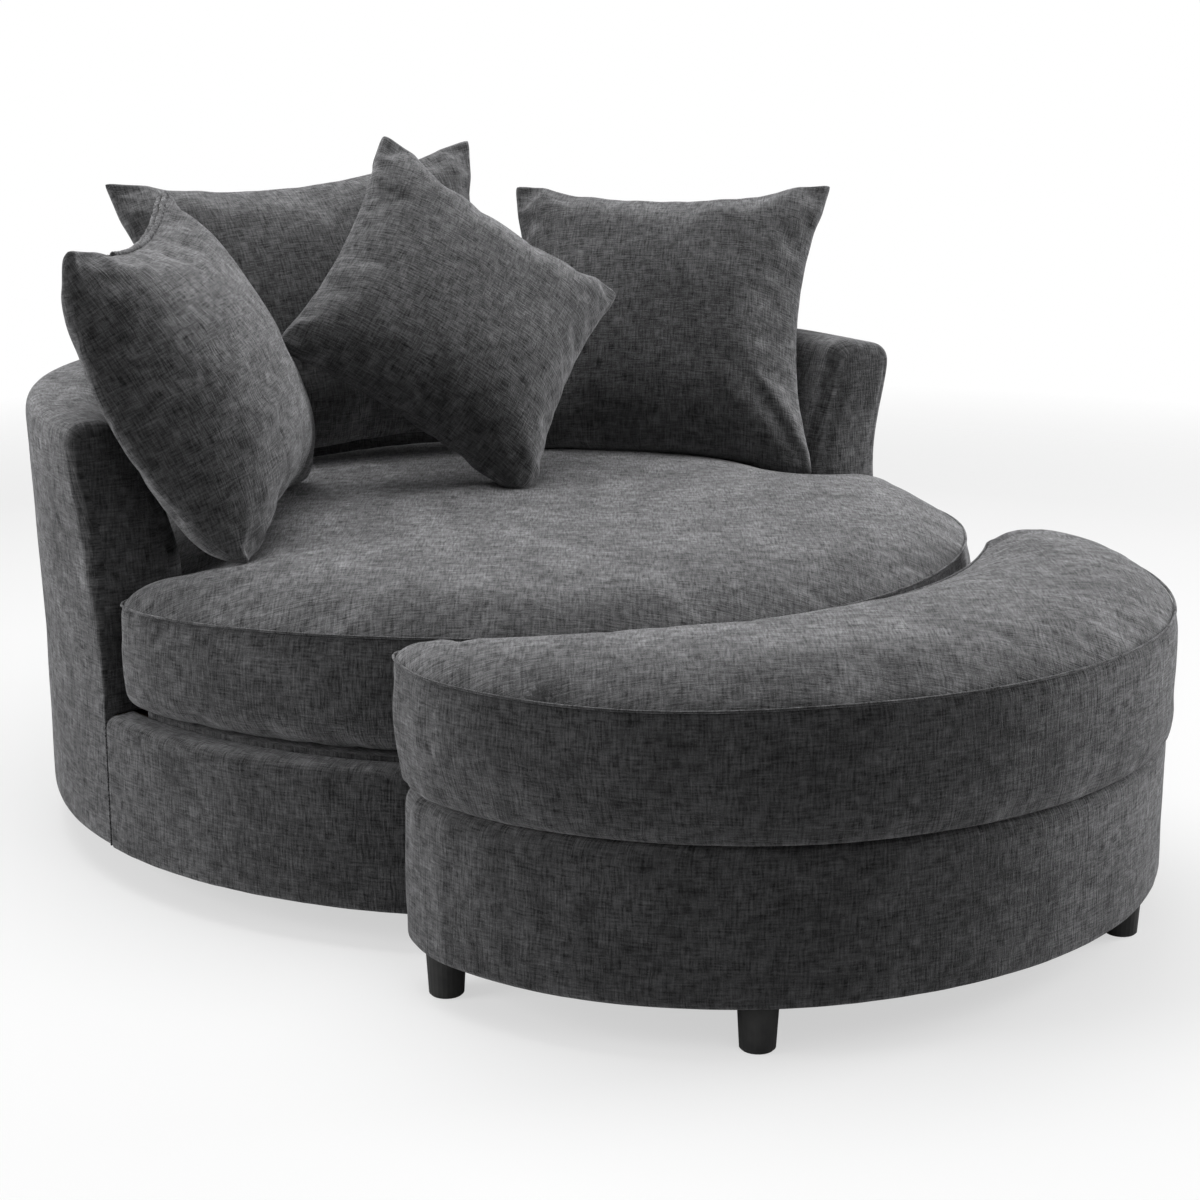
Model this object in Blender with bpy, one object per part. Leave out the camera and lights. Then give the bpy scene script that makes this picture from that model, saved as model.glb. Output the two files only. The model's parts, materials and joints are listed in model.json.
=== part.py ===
"""Round swivel lounge chair with four loose pillows and a crescent storage ottoman.

Metres, +Z up. The origin is on the floor, on the chair's swivel axis, and the front is -Y.
Turns are measured about the swivel axis from the front, positive towards +X.
"""

import math

import bmesh
import bpy
import numpy as np
from mathutils import Matrix, Vector

# Clearances
FIT_GAP = 0.0003
SOFT_GAP = 0.0005
FACET_GAP = 0.0008
CUT_OVERRUN = 0.004

# Chair body
DRUM_RADIUS = 0.640
WALL_FLARE = 0.014
WALL_TOP = 0.588
HEM_HEIGHT = 0.045
FLARE_START = 0.270
FRONT_TOP = 0.222
COVER_THICKNESS = 0.012
LINER_THICKNESS = 0.003
HEM_ROUND = 0.005
TOP_ROUND = 0.026
TOP_WIDTH = 0.098
ROLL_DROP = 0.036
FRONT_ROLL = 0.042
FRONT_ROLL_ROUND = 0.014
ARM_TURN_DEG = 87.0
ARM_PANEL_THICKNESS = 0.024
ARM_PANEL_ROUND = 0.009
WALL_AT_SEAT = 0.125
PAD_LEAN_START = 0.405

# Chair frame
RAIL_WIDTH = 0.062
RAIL_THICKNESS = 0.020
POST_DEPTH = 0.027
POST_WIDTH = 0.045
BACK_POST_COUNT = 5
BASE_POST_COUNT = 4
TOP_RAIL_WIDTH = 0.038
BEAM_WIDTH = 0.060
BEAM_HEIGHT = 0.040
BEAM_SPACING = 0.220
BEAM_END_SHARE = 0.93
STRAP_WIDTH = 0.050
STRAP_THICKNESS = 0.0015
STRAP_COUNT = 4
STRAP_PITCH = 0.205
STRAP_END_GAP = 0.013
DECK_TOP = 0.228
DUST_CLOTH = 0.0012

# Seat cushion
CUSHION_FRONT_INSET = 0.011
CUSHION_EAR_SWELL = 0.012
CUSHION_SIDE_BULGE = 0.004
CUSHION_SEAM_HEIGHT = 0.390
CUSHION_CROWN = 0.036
CUSHION_CROWN_RUN = 0.42
CUSHION_CORNER_ROUND = 0.070
CUSHION_EAR_SHARE = 1.1
EAR_SWELL_START_SHARE = 0.5
CUSHION_BOTTOM_ROUND = 0.028
CUSHION_TOP_ROUND = 0.008
ARM_CLEARANCE = 0.002

# Swivel
FLOOR_PAD_THICKNESS = 0.008
FLOOR_PAD_INSET = 0.010
PLINTH_RADIUS = 0.260
PLINTH_THICKNESS = 0.024
PLATE_SIDE = 0.305
PLATE_THICKNESS = 0.0025
PLATE_BORE = 0.080
PLATE_BOLT_INSET = 0.022
PLATE_CORNER = 0.015
BALL_RADIUS = 0.004
BALL_CIRCLE = 0.109
BALL_COUNT = 12
CAGE_WIDTH = 0.005
CAGE_THICKNESS = 0.0012
RIM_THICKNESS = 0.002
RIM_HEIGHT = 0.005
SCREW_RADIUS = 0.0030
SCREW_HEAD_RADIUS = 0.0065
SCREW_HEAD_HEIGHT = 0.0024
SCREW_LENGTH = 0.018
BOLT_LENGTH = 0.030

# Ottoman
OTTOMAN_HALF_WIDTH = 0.523
OTTOMAN_DEPTH = 0.455
OTTOMAN_SIDE_STEP = -0.012
OTTOMAN_MIDDLE_INSET = 0.080
OTTOMAN_GAP = 0.030
HORN_END_SHARE = 0.895
HORN_ROUND = 0.058
HORN_ROUND_INSET_SHARE = 0.6
BOX_INSET = 0.010
BOX_BOTTOM = 0.055
BOX_TOP = 0.239
BOX_COVER = 0.011
BOX_ROUND = 0.005
BOX_WALL = 0.015
BOX_FLOOR = 0.018
LINING_THICKNESS = 0.002
LEG_TOP_RADIUS = 0.023
LEG_BOTTOM_RADIUS = 0.020
LEG_EDGE = 0.002
FRONT_LEG_TURN_DEG = 17.6
HORN_LEG_SHARE = 0.900
HORN_LEG_INSET = 0.068
LEG_INSET = 0.048
LEG_SIDES = 24
LEG_STUD_RADIUS = 0.004
LEG_STUD_LENGTH = 0.016
CLOTH_THICKNESS = 0.0008

# Ottoman lid
LID_BOARD = 0.012
LID_BOARD_INSET = 0.024
LID_SEAM_HEIGHT = 0.392
LID_CROWN = 0.030
LID_CROWN_RUN = 0.15
LID_SIDE_BULGE = 0.006
LID_BOTTOM_ROUND = 0.016
LID_LIP = 0.003
CLEAT_WIDTH = 0.020
CLEAT_HEIGHT = 0.022
CLEAT_TURN_DEG = 24.0
CLEAT_STEPS = 14
CLEAT_CLEARANCE = 0.003

# Pillows: width, height and thickness at the middle, as shares of the drum's radius
PILLOW_SIZE_SHARES = {
    "pillow_left": (0.703, 0.695, 0.297),
    "pillow_back": (0.844, 0.727, 0.281),
    "pillow_centre": (0.633, 0.625, 0.234),
    "pillow_right": (0.742, 0.734, 0.281),
}
# Each pillow's middle, as shares of the drum's radius to the right and to the back,
# and of its own height above the seat
PILLOW_PLACE_SHARES = {
    "pillow_left": (-0.662, 0.110, 0.440),
    "pillow_back": (-0.110, 0.625, 0.466),
    "pillow_centre": (-0.040, 0.165, 0.565),
    "pillow_right": (0.612, 0.300, 0.375),
}
# Each pillow's facing turn, lean back and roll in degrees
PILLOW_AIM_DEG = {
    "pillow_left": (44.5, 27.0, 3.5),
    "pillow_back": (-14.5, 26.0, 6.0),
    "pillow_centre": (1.5, 32.5, 47.5),
    "pillow_right": (-44.5, 35.0, 0.0),
}
# A pillow gives way to those named before it
PILLOW_ORDER = ("pillow_centre", "pillow_left", "pillow_right", "pillow_back")
EDGE_PULL_SHARE = 0.11
BELLY_SHARE = 0.42
SAG_SHARE = 0.14

# A boxed cushion's side, in shares of its rounds, bulge and height: across and up
PAD_FOOT_SHARES = ((1.6, 0.0), (0.55, 0.2), (0.1, 0.75))
PAD_BELLY_SHARES = ((0.5, 0.25), (1.0, 0.5), (0.6, 0.75))
PAD_HEAD_SHARES = ((0.2, 0.6), (0.7, 0.0))
# A screw, in shares of its radii and head height
SCREW_TIP_SHARE = 0.4
SCREW_CROWN_SHARE = 0.7
SCREW_RIM_SHARE = 0.5

# Smoothness
CORNER_REACH_SHARE = 0.49
MITRE_SHARE = 0.5
CROWN_POWER = 3
RING_SPREAD_POWER = 1.35
ARM_EDGE_SHARE = 0.3
WALL_STEPS = 38
FRONT_STEPS = 34
ROUND_STEPS = 3
OUTLINE_STEPS = 30
CRESCENT_STATIONS = 26
CRESCENT_ACROSS = 6
CROWN_RINGS = 6
RING_STEPS = 28
HOOP_STEPS = 56
DISC_SIDES = 48
SCREW_SIDES = 8
BALL_SIDES = 8
BALL_RINGS = 5
PILLOW_CELLS = 12

# Heights of the stacked pieces
PLINTH_BOTTOM = FLOOR_PAD_THICKNESS + FIT_GAP
LOWER_PLATE_BOTTOM = PLINTH_BOTTOM + PLINTH_THICKNESS + FIT_GAP
LOWER_PLATE_TOP = LOWER_PLATE_BOTTOM + PLATE_THICKNESS
BALL_HEIGHT = LOWER_PLATE_TOP + FIT_GAP + BALL_RADIUS
UPPER_PLATE_BOTTOM = BALL_HEIGHT + BALL_RADIUS + FIT_GAP
UPPER_PLATE_TOP = UPPER_PLATE_BOTTOM + PLATE_THICKNESS
BEAM_BOTTOM = UPPER_PLATE_TOP + FIT_GAP
BEAM_TOP = BEAM_BOTTOM + BEAM_HEIGHT
HOOP_BOTTOM = BEAM_TOP + FIT_GAP
HOOP_TOP = HOOP_BOTTOM + RAIL_THICKNESS
SEAT_RAIL_TOP = FRONT_TOP - COVER_THICKNESS - FIT_GAP
STRAP_LAYER = STRAP_THICKNESS + FIT_GAP
SEAT_STRAP_BOTTOM = SEAT_RAIL_TOP + FIT_GAP
DECK_BOTTOM = SEAT_STRAP_BOTTOM + STRAP_LAYER
COVER_INNER_RADIUS = DRUM_RADIUS - COVER_THICKNESS
LINER_RADIUS = COVER_INNER_RADIUS - FIT_GAP
FRAME_RADIUS = LINER_RADIUS - LINER_THICKNESS - FACET_GAP
POST_INNER_RADIUS = FRAME_RADIUS - POST_DEPTH
TOP_RAIL_TOP = WALL_TOP - COVER_THICKNESS - FIT_GAP
TOP_RAIL_BOTTOM = TOP_RAIL_TOP - RAIL_THICKNESS
PAD_INNER_RADIUS = DRUM_RADIUS - WALL_AT_SEAT
STRAP_REACH = DRUM_RADIUS - FRONT_ROLL - STRAP_END_GAP
CUSHION_FRONT_RADIUS = DRUM_RADIUS - CUSHION_FRONT_INSET
WALL_START_DEG = ARM_TURN_DEG + math.degrees(ARM_PANEL_THICKNESS / DRUM_RADIUS)
WALL_SWEEP_DEG = 360.0 - 2 * WALL_START_DEG

# Places of the ottoman, which nests against the drum
OTTOMAN_SETBACK = DRUM_RADIUS - OTTOMAN_MIDDLE_INSET
OTTOMAN_INNER_RADIUS = DRUM_RADIUS + OTTOMAN_GAP
OTTOMAN_END_TURN = math.asin(HORN_END_SHARE * OTTOMAN_HALF_WIDTH / OTTOMAN_INNER_RADIUS)
HORN_LEG_DISTANCE = OTTOMAN_INNER_RADIUS + HORN_LEG_INSET
HORN_LEG_TURN = math.asin(HORN_LEG_SHARE * OTTOMAN_HALF_WIDTH / HORN_LEG_DISTANCE)

# Heights and insets of the ottoman's pieces
DUST_CLOTH_BOTTOM = BOX_BOTTOM + FIT_GAP
BOX_FLOOR_BOTTOM = DUST_CLOTH_BOTTOM + CLOTH_THICKNESS + FIT_GAP
BOX_FLOOR_TOP = BOX_FLOOR_BOTTOM + BOX_FLOOR
BOX_WALL_BOTTOM = BOX_FLOOR_TOP + FIT_GAP
BOX_WALL_TOP = BOX_TOP - BOX_COVER - FIT_GAP
WALL_INSET = BOX_INSET + BOX_COVER + FIT_GAP
CAVITY_INSET = WALL_INSET + BOX_WALL + FIT_GAP
LID_BOTTOM = BOX_TOP + FIT_GAP
LID_BOARD_TOP = LID_BOTTOM + LID_BOARD


def clear_scene():
    """Empties the scene."""
    for old in list(bpy.data.objects):
        bpy.data.objects.remove(old, do_unlink=True)


def finish(name, colour, roughness, metallic=0.0):
    """A material of its own for one kind of piece."""
    material = bpy.data.materials.new(name)
    material.use_nodes = True
    shader = material.node_tree.nodes["Principled BSDF"]
    shader.inputs["Base Color"].default_value = (*colour, 1.0)
    shader.inputs["Roughness"].default_value = roughness
    shader.inputs["Metallic"].default_value = metallic
    return material


FINISHES = {
    "charcoal_cloth": ((0.060, 0.060, 0.062), 0.92, 0.0),
    "card": ((0.34, 0.26, 0.18), 0.85, 0.0),
    "wood": ((0.52, 0.38, 0.23), 0.60, 0.0),
    "webbing": ((0.16, 0.15, 0.13), 0.90, 0.0),
    "black_cloth": ((0.018, 0.018, 0.018), 0.95, 0.0),
    "steel": ((0.46, 0.46, 0.47), 0.35, 1.0),
    "leg_black": ((0.020, 0.021, 0.022), 0.38, 0.0),
    "glide": ((0.045, 0.045, 0.045), 0.55, 0.0),
}


def turned(radius, turn, height):
    """A point at a distance from the swivel axis, turned from the front towards +X."""
    return Vector((radius * math.sin(turn), -radius * math.cos(turn), height))


def closed_mesh(bm, name):
    """Turns the faces outwards and stores the mesh."""
    bmesh.ops.recalc_face_normals(bm, faces=bm.faces[:])
    if bm.calc_volume(signed=True) < 0:
        bmesh.ops.reverse_faces(bm, faces=bm.faces[:])
    mesh = bpy.data.meshes.new(name)
    bm.to_mesh(mesh)
    bm.free()
    return mesh


def keep(bm, name, kind, pivot, smooth_deg=40.0):
    """Keeps the mesh as one object under its pivot."""
    mesh = closed_mesh(bm, name)
    mesh.shade_smooth()
    mesh.set_sharp_from_angle(angle=math.radians(smooth_deg))
    mesh.materials.append(FINISH[kind])
    made = bpy.data.objects.new(name, mesh)
    bpy.context.collection.objects.link(made)
    made.parent = pivot
    return made


def guide(bm, name, pivot=None):
    """Keeps the mesh as a cutter or a guide, which isn't itself part of the object."""
    made = bpy.data.objects.new(name, closed_mesh(bm, name))
    made.parent = pivot
    bpy.context.collection.objects.link(made)
    made.hide_render = True
    made.display_type = "WIRE"
    return made


def cut(piece, cutter):
    """Takes the cutter's shape out of the piece."""
    change = piece.modifiers.new(cutter.name, "BOOLEAN")
    change.operation = "DIFFERENCE"
    change.object = cutter


def fuse(piece, other):
    """Joins the other shape to the piece."""
    change = piece.modifiers.new(other.name, "BOOLEAN")
    change.operation = "UNION"
    change.object = other


def rounded(points, rounds):
    """An outline whose corners are eased by the given rounds."""
    outline = []
    count = len(points)
    for index, (corner, size) in enumerate(zip(points, rounds)):
        if size <= 0:
            outline.append(Vector(corner))
            continue
        corner = Vector(corner)
        before = Vector(points[index - 1]) - corner
        after = Vector(points[(index + 1) % count]) - corner
        reach = size / math.tan(before.angle(after) / 2)
        start = corner + before.normalized() * min(reach, before.length * CORNER_REACH_SHARE)
        end = corner + after.normalized() * min(reach, after.length * CORNER_REACH_SHARE)
        for step in range(ROUND_STEPS + 1):
            share = step / ROUND_STEPS
            outline.append(start.lerp(corner, share).lerp(corner.lerp(end, share), share))
    return outline


def beside(points, distance, closed=False):
    """The outline moved sideways by a distance, to the left of its direction."""
    moved = []
    count = len(points)
    for index, point in enumerate(points):
        before = points[index - 1] if closed or index else None
        after = points[(index + 1) % count] if closed or index < count - 1 else None
        runs = [(b - a).normalized() for a, b in ((before, point), (point, after))
                if a is not None and b is not None]
        sides = [Vector((-run.y, run.x)) for run in runs]
        side = sum(sides, Vector((0, 0))).normalized()
        moved.append(point + side * distance / max(side.dot(sides[0]), MITRE_SHARE))
    return moved


def thick(points, thickness):
    """A closed profile: the path and the same path moved to its left."""
    return list(points) + beside(points, thickness)[::-1]


def swept(loops, closed):
    """Skins a row of like closed loops of points, with flat ends unless the row closes."""
    bm = bmesh.new()
    rows = [[bm.verts.new(point) for point in loop] for loop in loops]
    pairs = list(zip(rows, rows[1:]))
    if closed:
        pairs.append((rows[-1], rows[0]))
    for near, far in pairs:
        size = len(near)
        for index in range(size):
            after = (index + 1) % size
            bm.faces.new((near[index], near[after], far[after], far[index]))
    if not closed:
        bm.faces.new(rows[0][::-1])
        bm.faces.new(rows[-1])
    return bm


def turned_wall(profile, start_deg, sweep_deg, steps):
    """Spins a profile of distances and heights about the swivel axis."""
    bm = bmesh.new()
    start = math.radians(start_deg)
    ring = [bm.verts.new(turned(point[0], start, point[1])) for point in profile]
    edges = [bm.edges.new((ring[i - 1], ring[i])) for i in range(len(ring))]
    whole = sweep_deg >= 360.0
    first = ring + edges if whole else ring + edges + [bm.faces.new(ring)]
    bmesh.ops.spin(bm, geom=first, cent=(0, 0, 0), axis=(0, 0, 1), steps=steps,
                   angle=math.radians(sweep_deg), use_merge=whole)
    return bm


def block(size, centre, turn=0.0):
    """A box of a size about its centre, turned about the vertical."""
    bm = bmesh.new()
    place = Matrix.Translation(centre) @ Matrix.Rotation(turn, 4, "Z") @ Matrix.Diagonal((*size, 1.0))
    bmesh.ops.create_cube(bm, size=1.0, matrix=place)
    return bm


def rod(radius, bottom, top, centre=(0, 0), sides=DISC_SIDES):
    """An upright round bar or disc."""
    bm = bmesh.new()
    place = Matrix.Translation((centre[0], centre[1], (bottom + top) / 2))
    bmesh.ops.create_cone(bm, cap_ends=True, segments=sides, radius1=radius, radius2=radius,
                          depth=top - bottom, matrix=place)
    return bm


def merged(parts):
    """Several meshes as the separate solids of one piece."""
    whole = bmesh.new()
    for part in parts:
        mesh = bpy.data.meshes.new("piece")
        part.to_mesh(mesh)
        part.free()
        whole.from_mesh(mesh)
        bpy.data.meshes.remove(mesh)
    return whole


def box_points(inner, outer, bottom, top):
    """A plain rectangular profile."""
    return [Vector(p) for p in ((outer, bottom), (outer, top), (inner, top), (inner, bottom))]


def inner_face(height):
    """The distance of the padding's face from the swivel axis at a height."""
    top_inner = DRUM_RADIUS + WALL_FLARE - TOP_WIDTH
    lean = max(height - PAD_LEAN_START, 0) / (WALL_TOP - PAD_LEAN_START)
    return PAD_INNER_RADIUS + (top_inner - PAD_INNER_RADIUS) * lean


def roll_end():
    """Where the cover's roll ends on the inner side."""
    height = WALL_TOP - ROLL_DROP
    return inner_face(height), height


def cover_path():
    """The wall cover's outer face, from the hem up and over the top."""
    outer_top = DRUM_RADIUS + WALL_FLARE
    corners = [(DRUM_RADIUS - HEM_ROUND, HEM_HEIGHT), (DRUM_RADIUS, HEM_HEIGHT + HEM_ROUND),
               (DRUM_RADIUS, FLARE_START), (outer_top, WALL_TOP),
               (outer_top - TOP_WIDTH, WALL_TOP), roll_end()]
    return rounded(corners, (0, 0, 0, TOP_ROUND, TOP_ROUND, 0))


def arm_outline(bottom):
    """The outline of the wall's cut end: outer side, rounded top and padded inner side."""
    inner = [Vector((PAD_INNER_RADIUS, height)) for height in (PAD_LEAN_START, bottom)]
    return [Vector((DRUM_RADIUS, bottom))] + cover_path()[2:] + inner


def make_wall(pivot):
    """The barrel wall: outer cover, liner, inner padding and the two arm fronts."""
    path = cover_path()
    cover = thick(path, COVER_THICKNESS)
    lip, lip_back = cover[len(path) - 1], cover[len(path)]
    bm = turned_wall(cover, WALL_START_DEG, WALL_SWEEP_DEG, WALL_STEPS)
    keep(bm, "wall_cover", "charcoal_cloth", pivot)

    flare_share = (TOP_RAIL_BOTTOM - FLARE_START) / (WALL_TOP - FLARE_START)
    liner = [Vector((LINER_RADIUS, HOOP_BOTTOM)), Vector((LINER_RADIUS, FLARE_START)),
             Vector((LINER_RADIUS + WALL_FLARE * flare_share, TOP_RAIL_BOTTOM))]
    bm = turned_wall(thick(liner, LINER_THICKNESS), WALL_START_DEG, WALL_SWEEP_DEG, WALL_STEPS)
    keep(bm, "wall_liner", "card", pivot)

    pad_back = POST_INNER_RADIUS - SOFT_GAP
    pad = [(pad_back, DECK_BOTTOM), (pad_back, lip_back.y - SOFT_GAP), (lip_back.x, lip_back.y - SOFT_GAP),
           (lip.x, lip.y - SOFT_GAP), (PAD_INNER_RADIUS, PAD_LEAN_START), (PAD_INNER_RADIUS, DECK_BOTTOM)]
    bm = turned_wall([Vector(p) for p in pad], WALL_START_DEG, WALL_SWEEP_DEG, WALL_STEPS)
    keep(bm, "inner_wall_pad", "charcoal_cloth", pivot)

    arm_face = arm_outline(FRONT_TOP + SOFT_GAP)
    back_deg = WALL_START_DEG - math.degrees(SOFT_GAP / PAD_INNER_RADIUS)
    round_deg = math.degrees(ARM_PANEL_ROUND / DRUM_RADIUS)
    stations = ((back_deg, 0.0), (ARM_TURN_DEG + round_deg, 0.0),
                (ARM_TURN_DEG + round_deg * ARM_EDGE_SHARE, ARM_PANEL_ROUND * ARM_EDGE_SHARE),
                (ARM_TURN_DEG, ARM_PANEL_ROUND))
    for name, side in (("arm_front_right", 1), ("arm_front_left", -1)):
        loops = [[turned(p.x, side * math.radians(turn), p.y)
                  for p in beside(arm_face, inset, closed=True)] for turn, inset in stations]
        keep(swept(loops, closed=False), name, "charcoal_cloth", pivot)

    front = rounded([(DRUM_RADIUS - HEM_ROUND, HEM_HEIGHT), (DRUM_RADIUS, HEM_HEIGHT + HEM_ROUND),
                     (DRUM_RADIUS, FRONT_TOP), (DRUM_RADIUS - FRONT_ROLL, FRONT_TOP)],
                    (0, 0, FRONT_ROLL_ROUND, 0))
    seam = WALL_START_DEG - math.degrees(SOFT_GAP / DRUM_RADIUS)
    bm = turned_wall(thick(front, COVER_THICKNESS), -seam, 2 * seam, FRONT_STEPS)
    keep(bm, "front_cover", "charcoal_cloth", pivot)


def make_frame(pivot):
    """The wooden frame inside the barrel and the straps across its seat."""
    rail_inner = FRAME_RADIUS - RAIL_WIDTH
    seat_rail_bottom = SEAT_RAIL_TOP - RAIL_THICKNESS
    for name, bottom in (("bottom_hoop", HOOP_BOTTOM), ("seat_hoop", seat_rail_bottom)):
        profile = box_points(rail_inner, FRAME_RADIUS, bottom, bottom + RAIL_THICKNESS)
        keep(turned_wall(profile, 0.0, 360.0, HOOP_STEPS), name, "wood", pivot)

    rail = box_points(FRAME_RADIUS - TOP_RAIL_WIDTH, FRAME_RADIUS, TOP_RAIL_BOTTOM, TOP_RAIL_TOP)
    bm = turned_wall(rail, WALL_START_DEG, WALL_SWEEP_DEG, WALL_STEPS)
    keep(bm, "top_rail", "wood", pivot)

    def uprights(name, count, first_deg, sweep_deg, width, bottom, top):
        corner = math.hypot(FRAME_RADIUS, width / 2) - FRAME_RADIUS
        for index in range(count):
            turn = math.radians(first_deg + sweep_deg * index / (count - 1))
            middle = turned(FRAME_RADIUS - corner - POST_DEPTH / 2, turn, (bottom + top) / 2)
            post = block((width, POST_DEPTH - 2 * corner, top - bottom), middle, turn)
            keep(post, "%s_%d" % (name, index + 1), "wood", pivot)

    inset = math.degrees(POST_WIDTH / FRAME_RADIUS)
    uprights("back_post", BACK_POST_COUNT, WALL_START_DEG + inset, WALL_SWEEP_DEG - 2 * inset, POST_WIDTH,
             SEAT_RAIL_TOP + FIT_GAP, TOP_RAIL_BOTTOM - FIT_GAP)
    apart = 360.0 / BASE_POST_COUNT
    uprights("base_post", BASE_POST_COUNT, apart / 2, 360.0 - apart, POST_WIDTH,
             HOOP_TOP + FIT_GAP, seat_rail_bottom - FIT_GAP)

    half = math.sqrt((FRAME_RADIUS * BEAM_END_SHARE) ** 2 - (BEAM_SPACING / 2) ** 2)
    beams = []
    for name, side in (("front_beam", -1), ("rear_beam", 1)):
        middle = Vector((0, side * BEAM_SPACING / 2, BEAM_BOTTOM + BEAM_HEIGHT / 2))
        beams.append(keep(block((2 * half, BEAM_WIDTH, BEAM_HEIGHT), middle), name, "wood", pivot))

    straps = []
    for index in range(STRAP_COUNT):
        place = (index - (STRAP_COUNT - 1) / 2) * STRAP_PITCH
        run = 2 * math.sqrt(STRAP_REACH ** 2 - (abs(place) + STRAP_WIDTH / 2) ** 2)
        height = SEAT_STRAP_BOTTOM + STRAP_THICKNESS / 2
        straps.append(block((run, STRAP_WIDTH, STRAP_THICKNESS), Vector((0, place, height))))
        straps.append(block((STRAP_WIDTH, run, STRAP_THICKNESS), Vector((place, 0, height))))
    webbing = keep(straps.pop(), "seat_webbing", "webbing", pivot)
    for number, strap in enumerate(straps):
        fuse(webbing, guide(strap, "seat_strap_%d" % number))

    deck = seat_outline(DRUM_RADIUS - FRONT_ROLL - FACET_GAP, 0)
    loops = [[Vector((p.x, p.y, height)) for p in deck] for height in (DECK_BOTTOM, DECK_TOP)]
    keep(swept(loops, closed=False), "seat_deck", "charcoal_cloth", pivot)

    bore = math.hypot(PLATE_SIDE / 2, PLATE_SIDE / 2) + SOFT_GAP
    top = BEAM_BOTTOM - FIT_GAP
    cloth = box_points(bore, FRAME_RADIUS, top - DUST_CLOTH, top)
    keep(turned_wall(cloth, 0.0, 360.0, RING_STEPS), "chair_dust_cloth", "black_cloth", pivot)
    return beams


def seat_outline(front, ear_swell):
    """The seat's edge from above: a round front with ears before the arms."""
    clearance = ARM_CLEARANCE / front
    ear = math.radians(ARM_TURN_DEG) - clearance
    back = PAD_INNER_RADIUS - ARM_CLEARANCE
    front_end = ear - CUSHION_EAR_SHARE * CUSHION_CORNER_ROUND / front
    back_start = ear + math.pi / OUTLINE_STEPS

    def front_radius(turn):
        swell = max(abs(turn) / ear - EAR_SWELL_START_SHARE, 0) / (1 - EAR_SWELL_START_SHARE)
        return front + ear_swell * swell * swell

    points, rounds = [], []
    for step in range(OUTLINE_STEPS + 1):
        turn = -front_end + 2 * front_end * step / OUTLINE_STEPS
        points.append(turned(front_radius(turn), turn, 0).xy)
        rounds.append(0)
    points += [turned(front_radius(ear), ear, 0).xy, turned(back, ear, 0).xy]
    rounds += [CUSHION_CORNER_ROUND, 0]
    for step in range(OUTLINE_STEPS + 1):
        turn = back_start + (2 * math.pi - 2 * back_start) * step / OUTLINE_STEPS
        points.append(turned(back, turn, 0).xy)
        rounds.append(0)
    points += [turned(back, -ear, 0).xy, turned(front_radius(ear), -ear, 0).xy]
    rounds += [0, CUSHION_CORNER_ROUND]
    return rounded(points, rounds)


def edge_distance(places, outline):
    """The distance from each place to the nearest stretch of a closed outline."""
    starts = np.array([(p.x, p.y) for p in outline])
    runs = np.roll(starts, -1, axis=0) - starts
    places = np.array([(p[0], p[1]) for p in places])
    offsets = places[:, None, :] - starts[None, :, :]
    along = np.clip((offsets * runs).sum(2) / (runs * runs).sum(1), 0, 1)
    return np.linalg.norm(offsets - along[:, :, None] * runs, axis=2).min(1)


def crowned(distance, run):
    """How far a crown has risen, as a share, at a distance in from its edge."""
    return 1 - (1 - np.clip(distance / run, 0, 1)) ** CROWN_POWER


def pad_side(bottom, seam, bottom_round, top_round, bulge):
    """Insets and heights up a boxed cushion's side, from its underside to its top seam."""
    foot = [(bottom_round * across, bottom + bottom_round * up) for across, up in PAD_FOOT_SHARES]
    belly = [(-bulge * across, bottom + (seam - bottom) * up) for across, up in PAD_BELLY_SHARES]
    head = [(top_round * across, seam - top_round * down) for across, down in PAD_HEAD_SHARES]
    return foot + belly + head


def make_seat_cushion(pivot, grow=0.0):
    """The loose round seat cushion, crowned, with a seam round its top edge."""
    outline = seat_outline(CUSHION_FRONT_RADIUS, CUSHION_EAR_SWELL)
    bottom = DECK_TOP + SOFT_GAP
    side = pad_side(bottom, CUSHION_SEAM_HEIGHT, CUSHION_BOTTOM_ROUND, CUSHION_TOP_ROUND, CUSHION_SIDE_BULGE)
    loops = []
    for inset, height in side:
        ring = beside(outline, max(inset, 0) - grow, closed=True)
        free = [p.length > (PAD_INNER_RADIUS + CUSHION_FRONT_RADIUS) / 2 for p in ring]
        ring = [p - p.normalized() * min(inset, 0) if out else p for p, out in zip(ring, free)]
        loops.append([Vector((p.x, p.y, height)) for p in ring])
    rim = beside(outline, side[-1][0] - grow, closed=True)
    bm = swept(loops, closed=False)
    bm.faces.ensure_lookup_table()
    bmesh.ops.delete(bm, geom=[bm.faces[-1]], context="FACES_ONLY")
    bm.verts.ensure_lookup_table()
    last = bm.verts[-len(rim):]
    for ring_index in range(1, CROWN_RINGS + 1):
        share = 1 - (ring_index / (CROWN_RINGS + 1)) ** RING_SPREAD_POWER
        places = [p * share for p in rim]
        rise = crowned(edge_distance(places, rim), CUSHION_CROWN_RUN)
        ring = [bm.verts.new((p.x, p.y, CUSHION_SEAM_HEIGHT + grow + CUSHION_CROWN * up))
                for p, up in zip(places, rise)]
        for index in range(len(ring)):
            after = (index + 1) % len(ring)
            bm.faces.new((last[index], last[after], ring[after], ring[index]))
        last = ring
    rise = crowned(edge_distance([(0, 0)], rim), CUSHION_CROWN_RUN)[0]
    peak = bm.verts.new((0, 0, CUSHION_SEAM_HEIGHT + grow + CUSHION_CROWN * rise))
    for index in range(len(last)):
        bm.faces.new((last[index], last[(index + 1) % len(last)], peak))
    if grow:
        return guide(bm, "seat_clearance")
    return keep(bm, "seat_cushion", "charcoal_cloth", pivot, 60.0)


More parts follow.
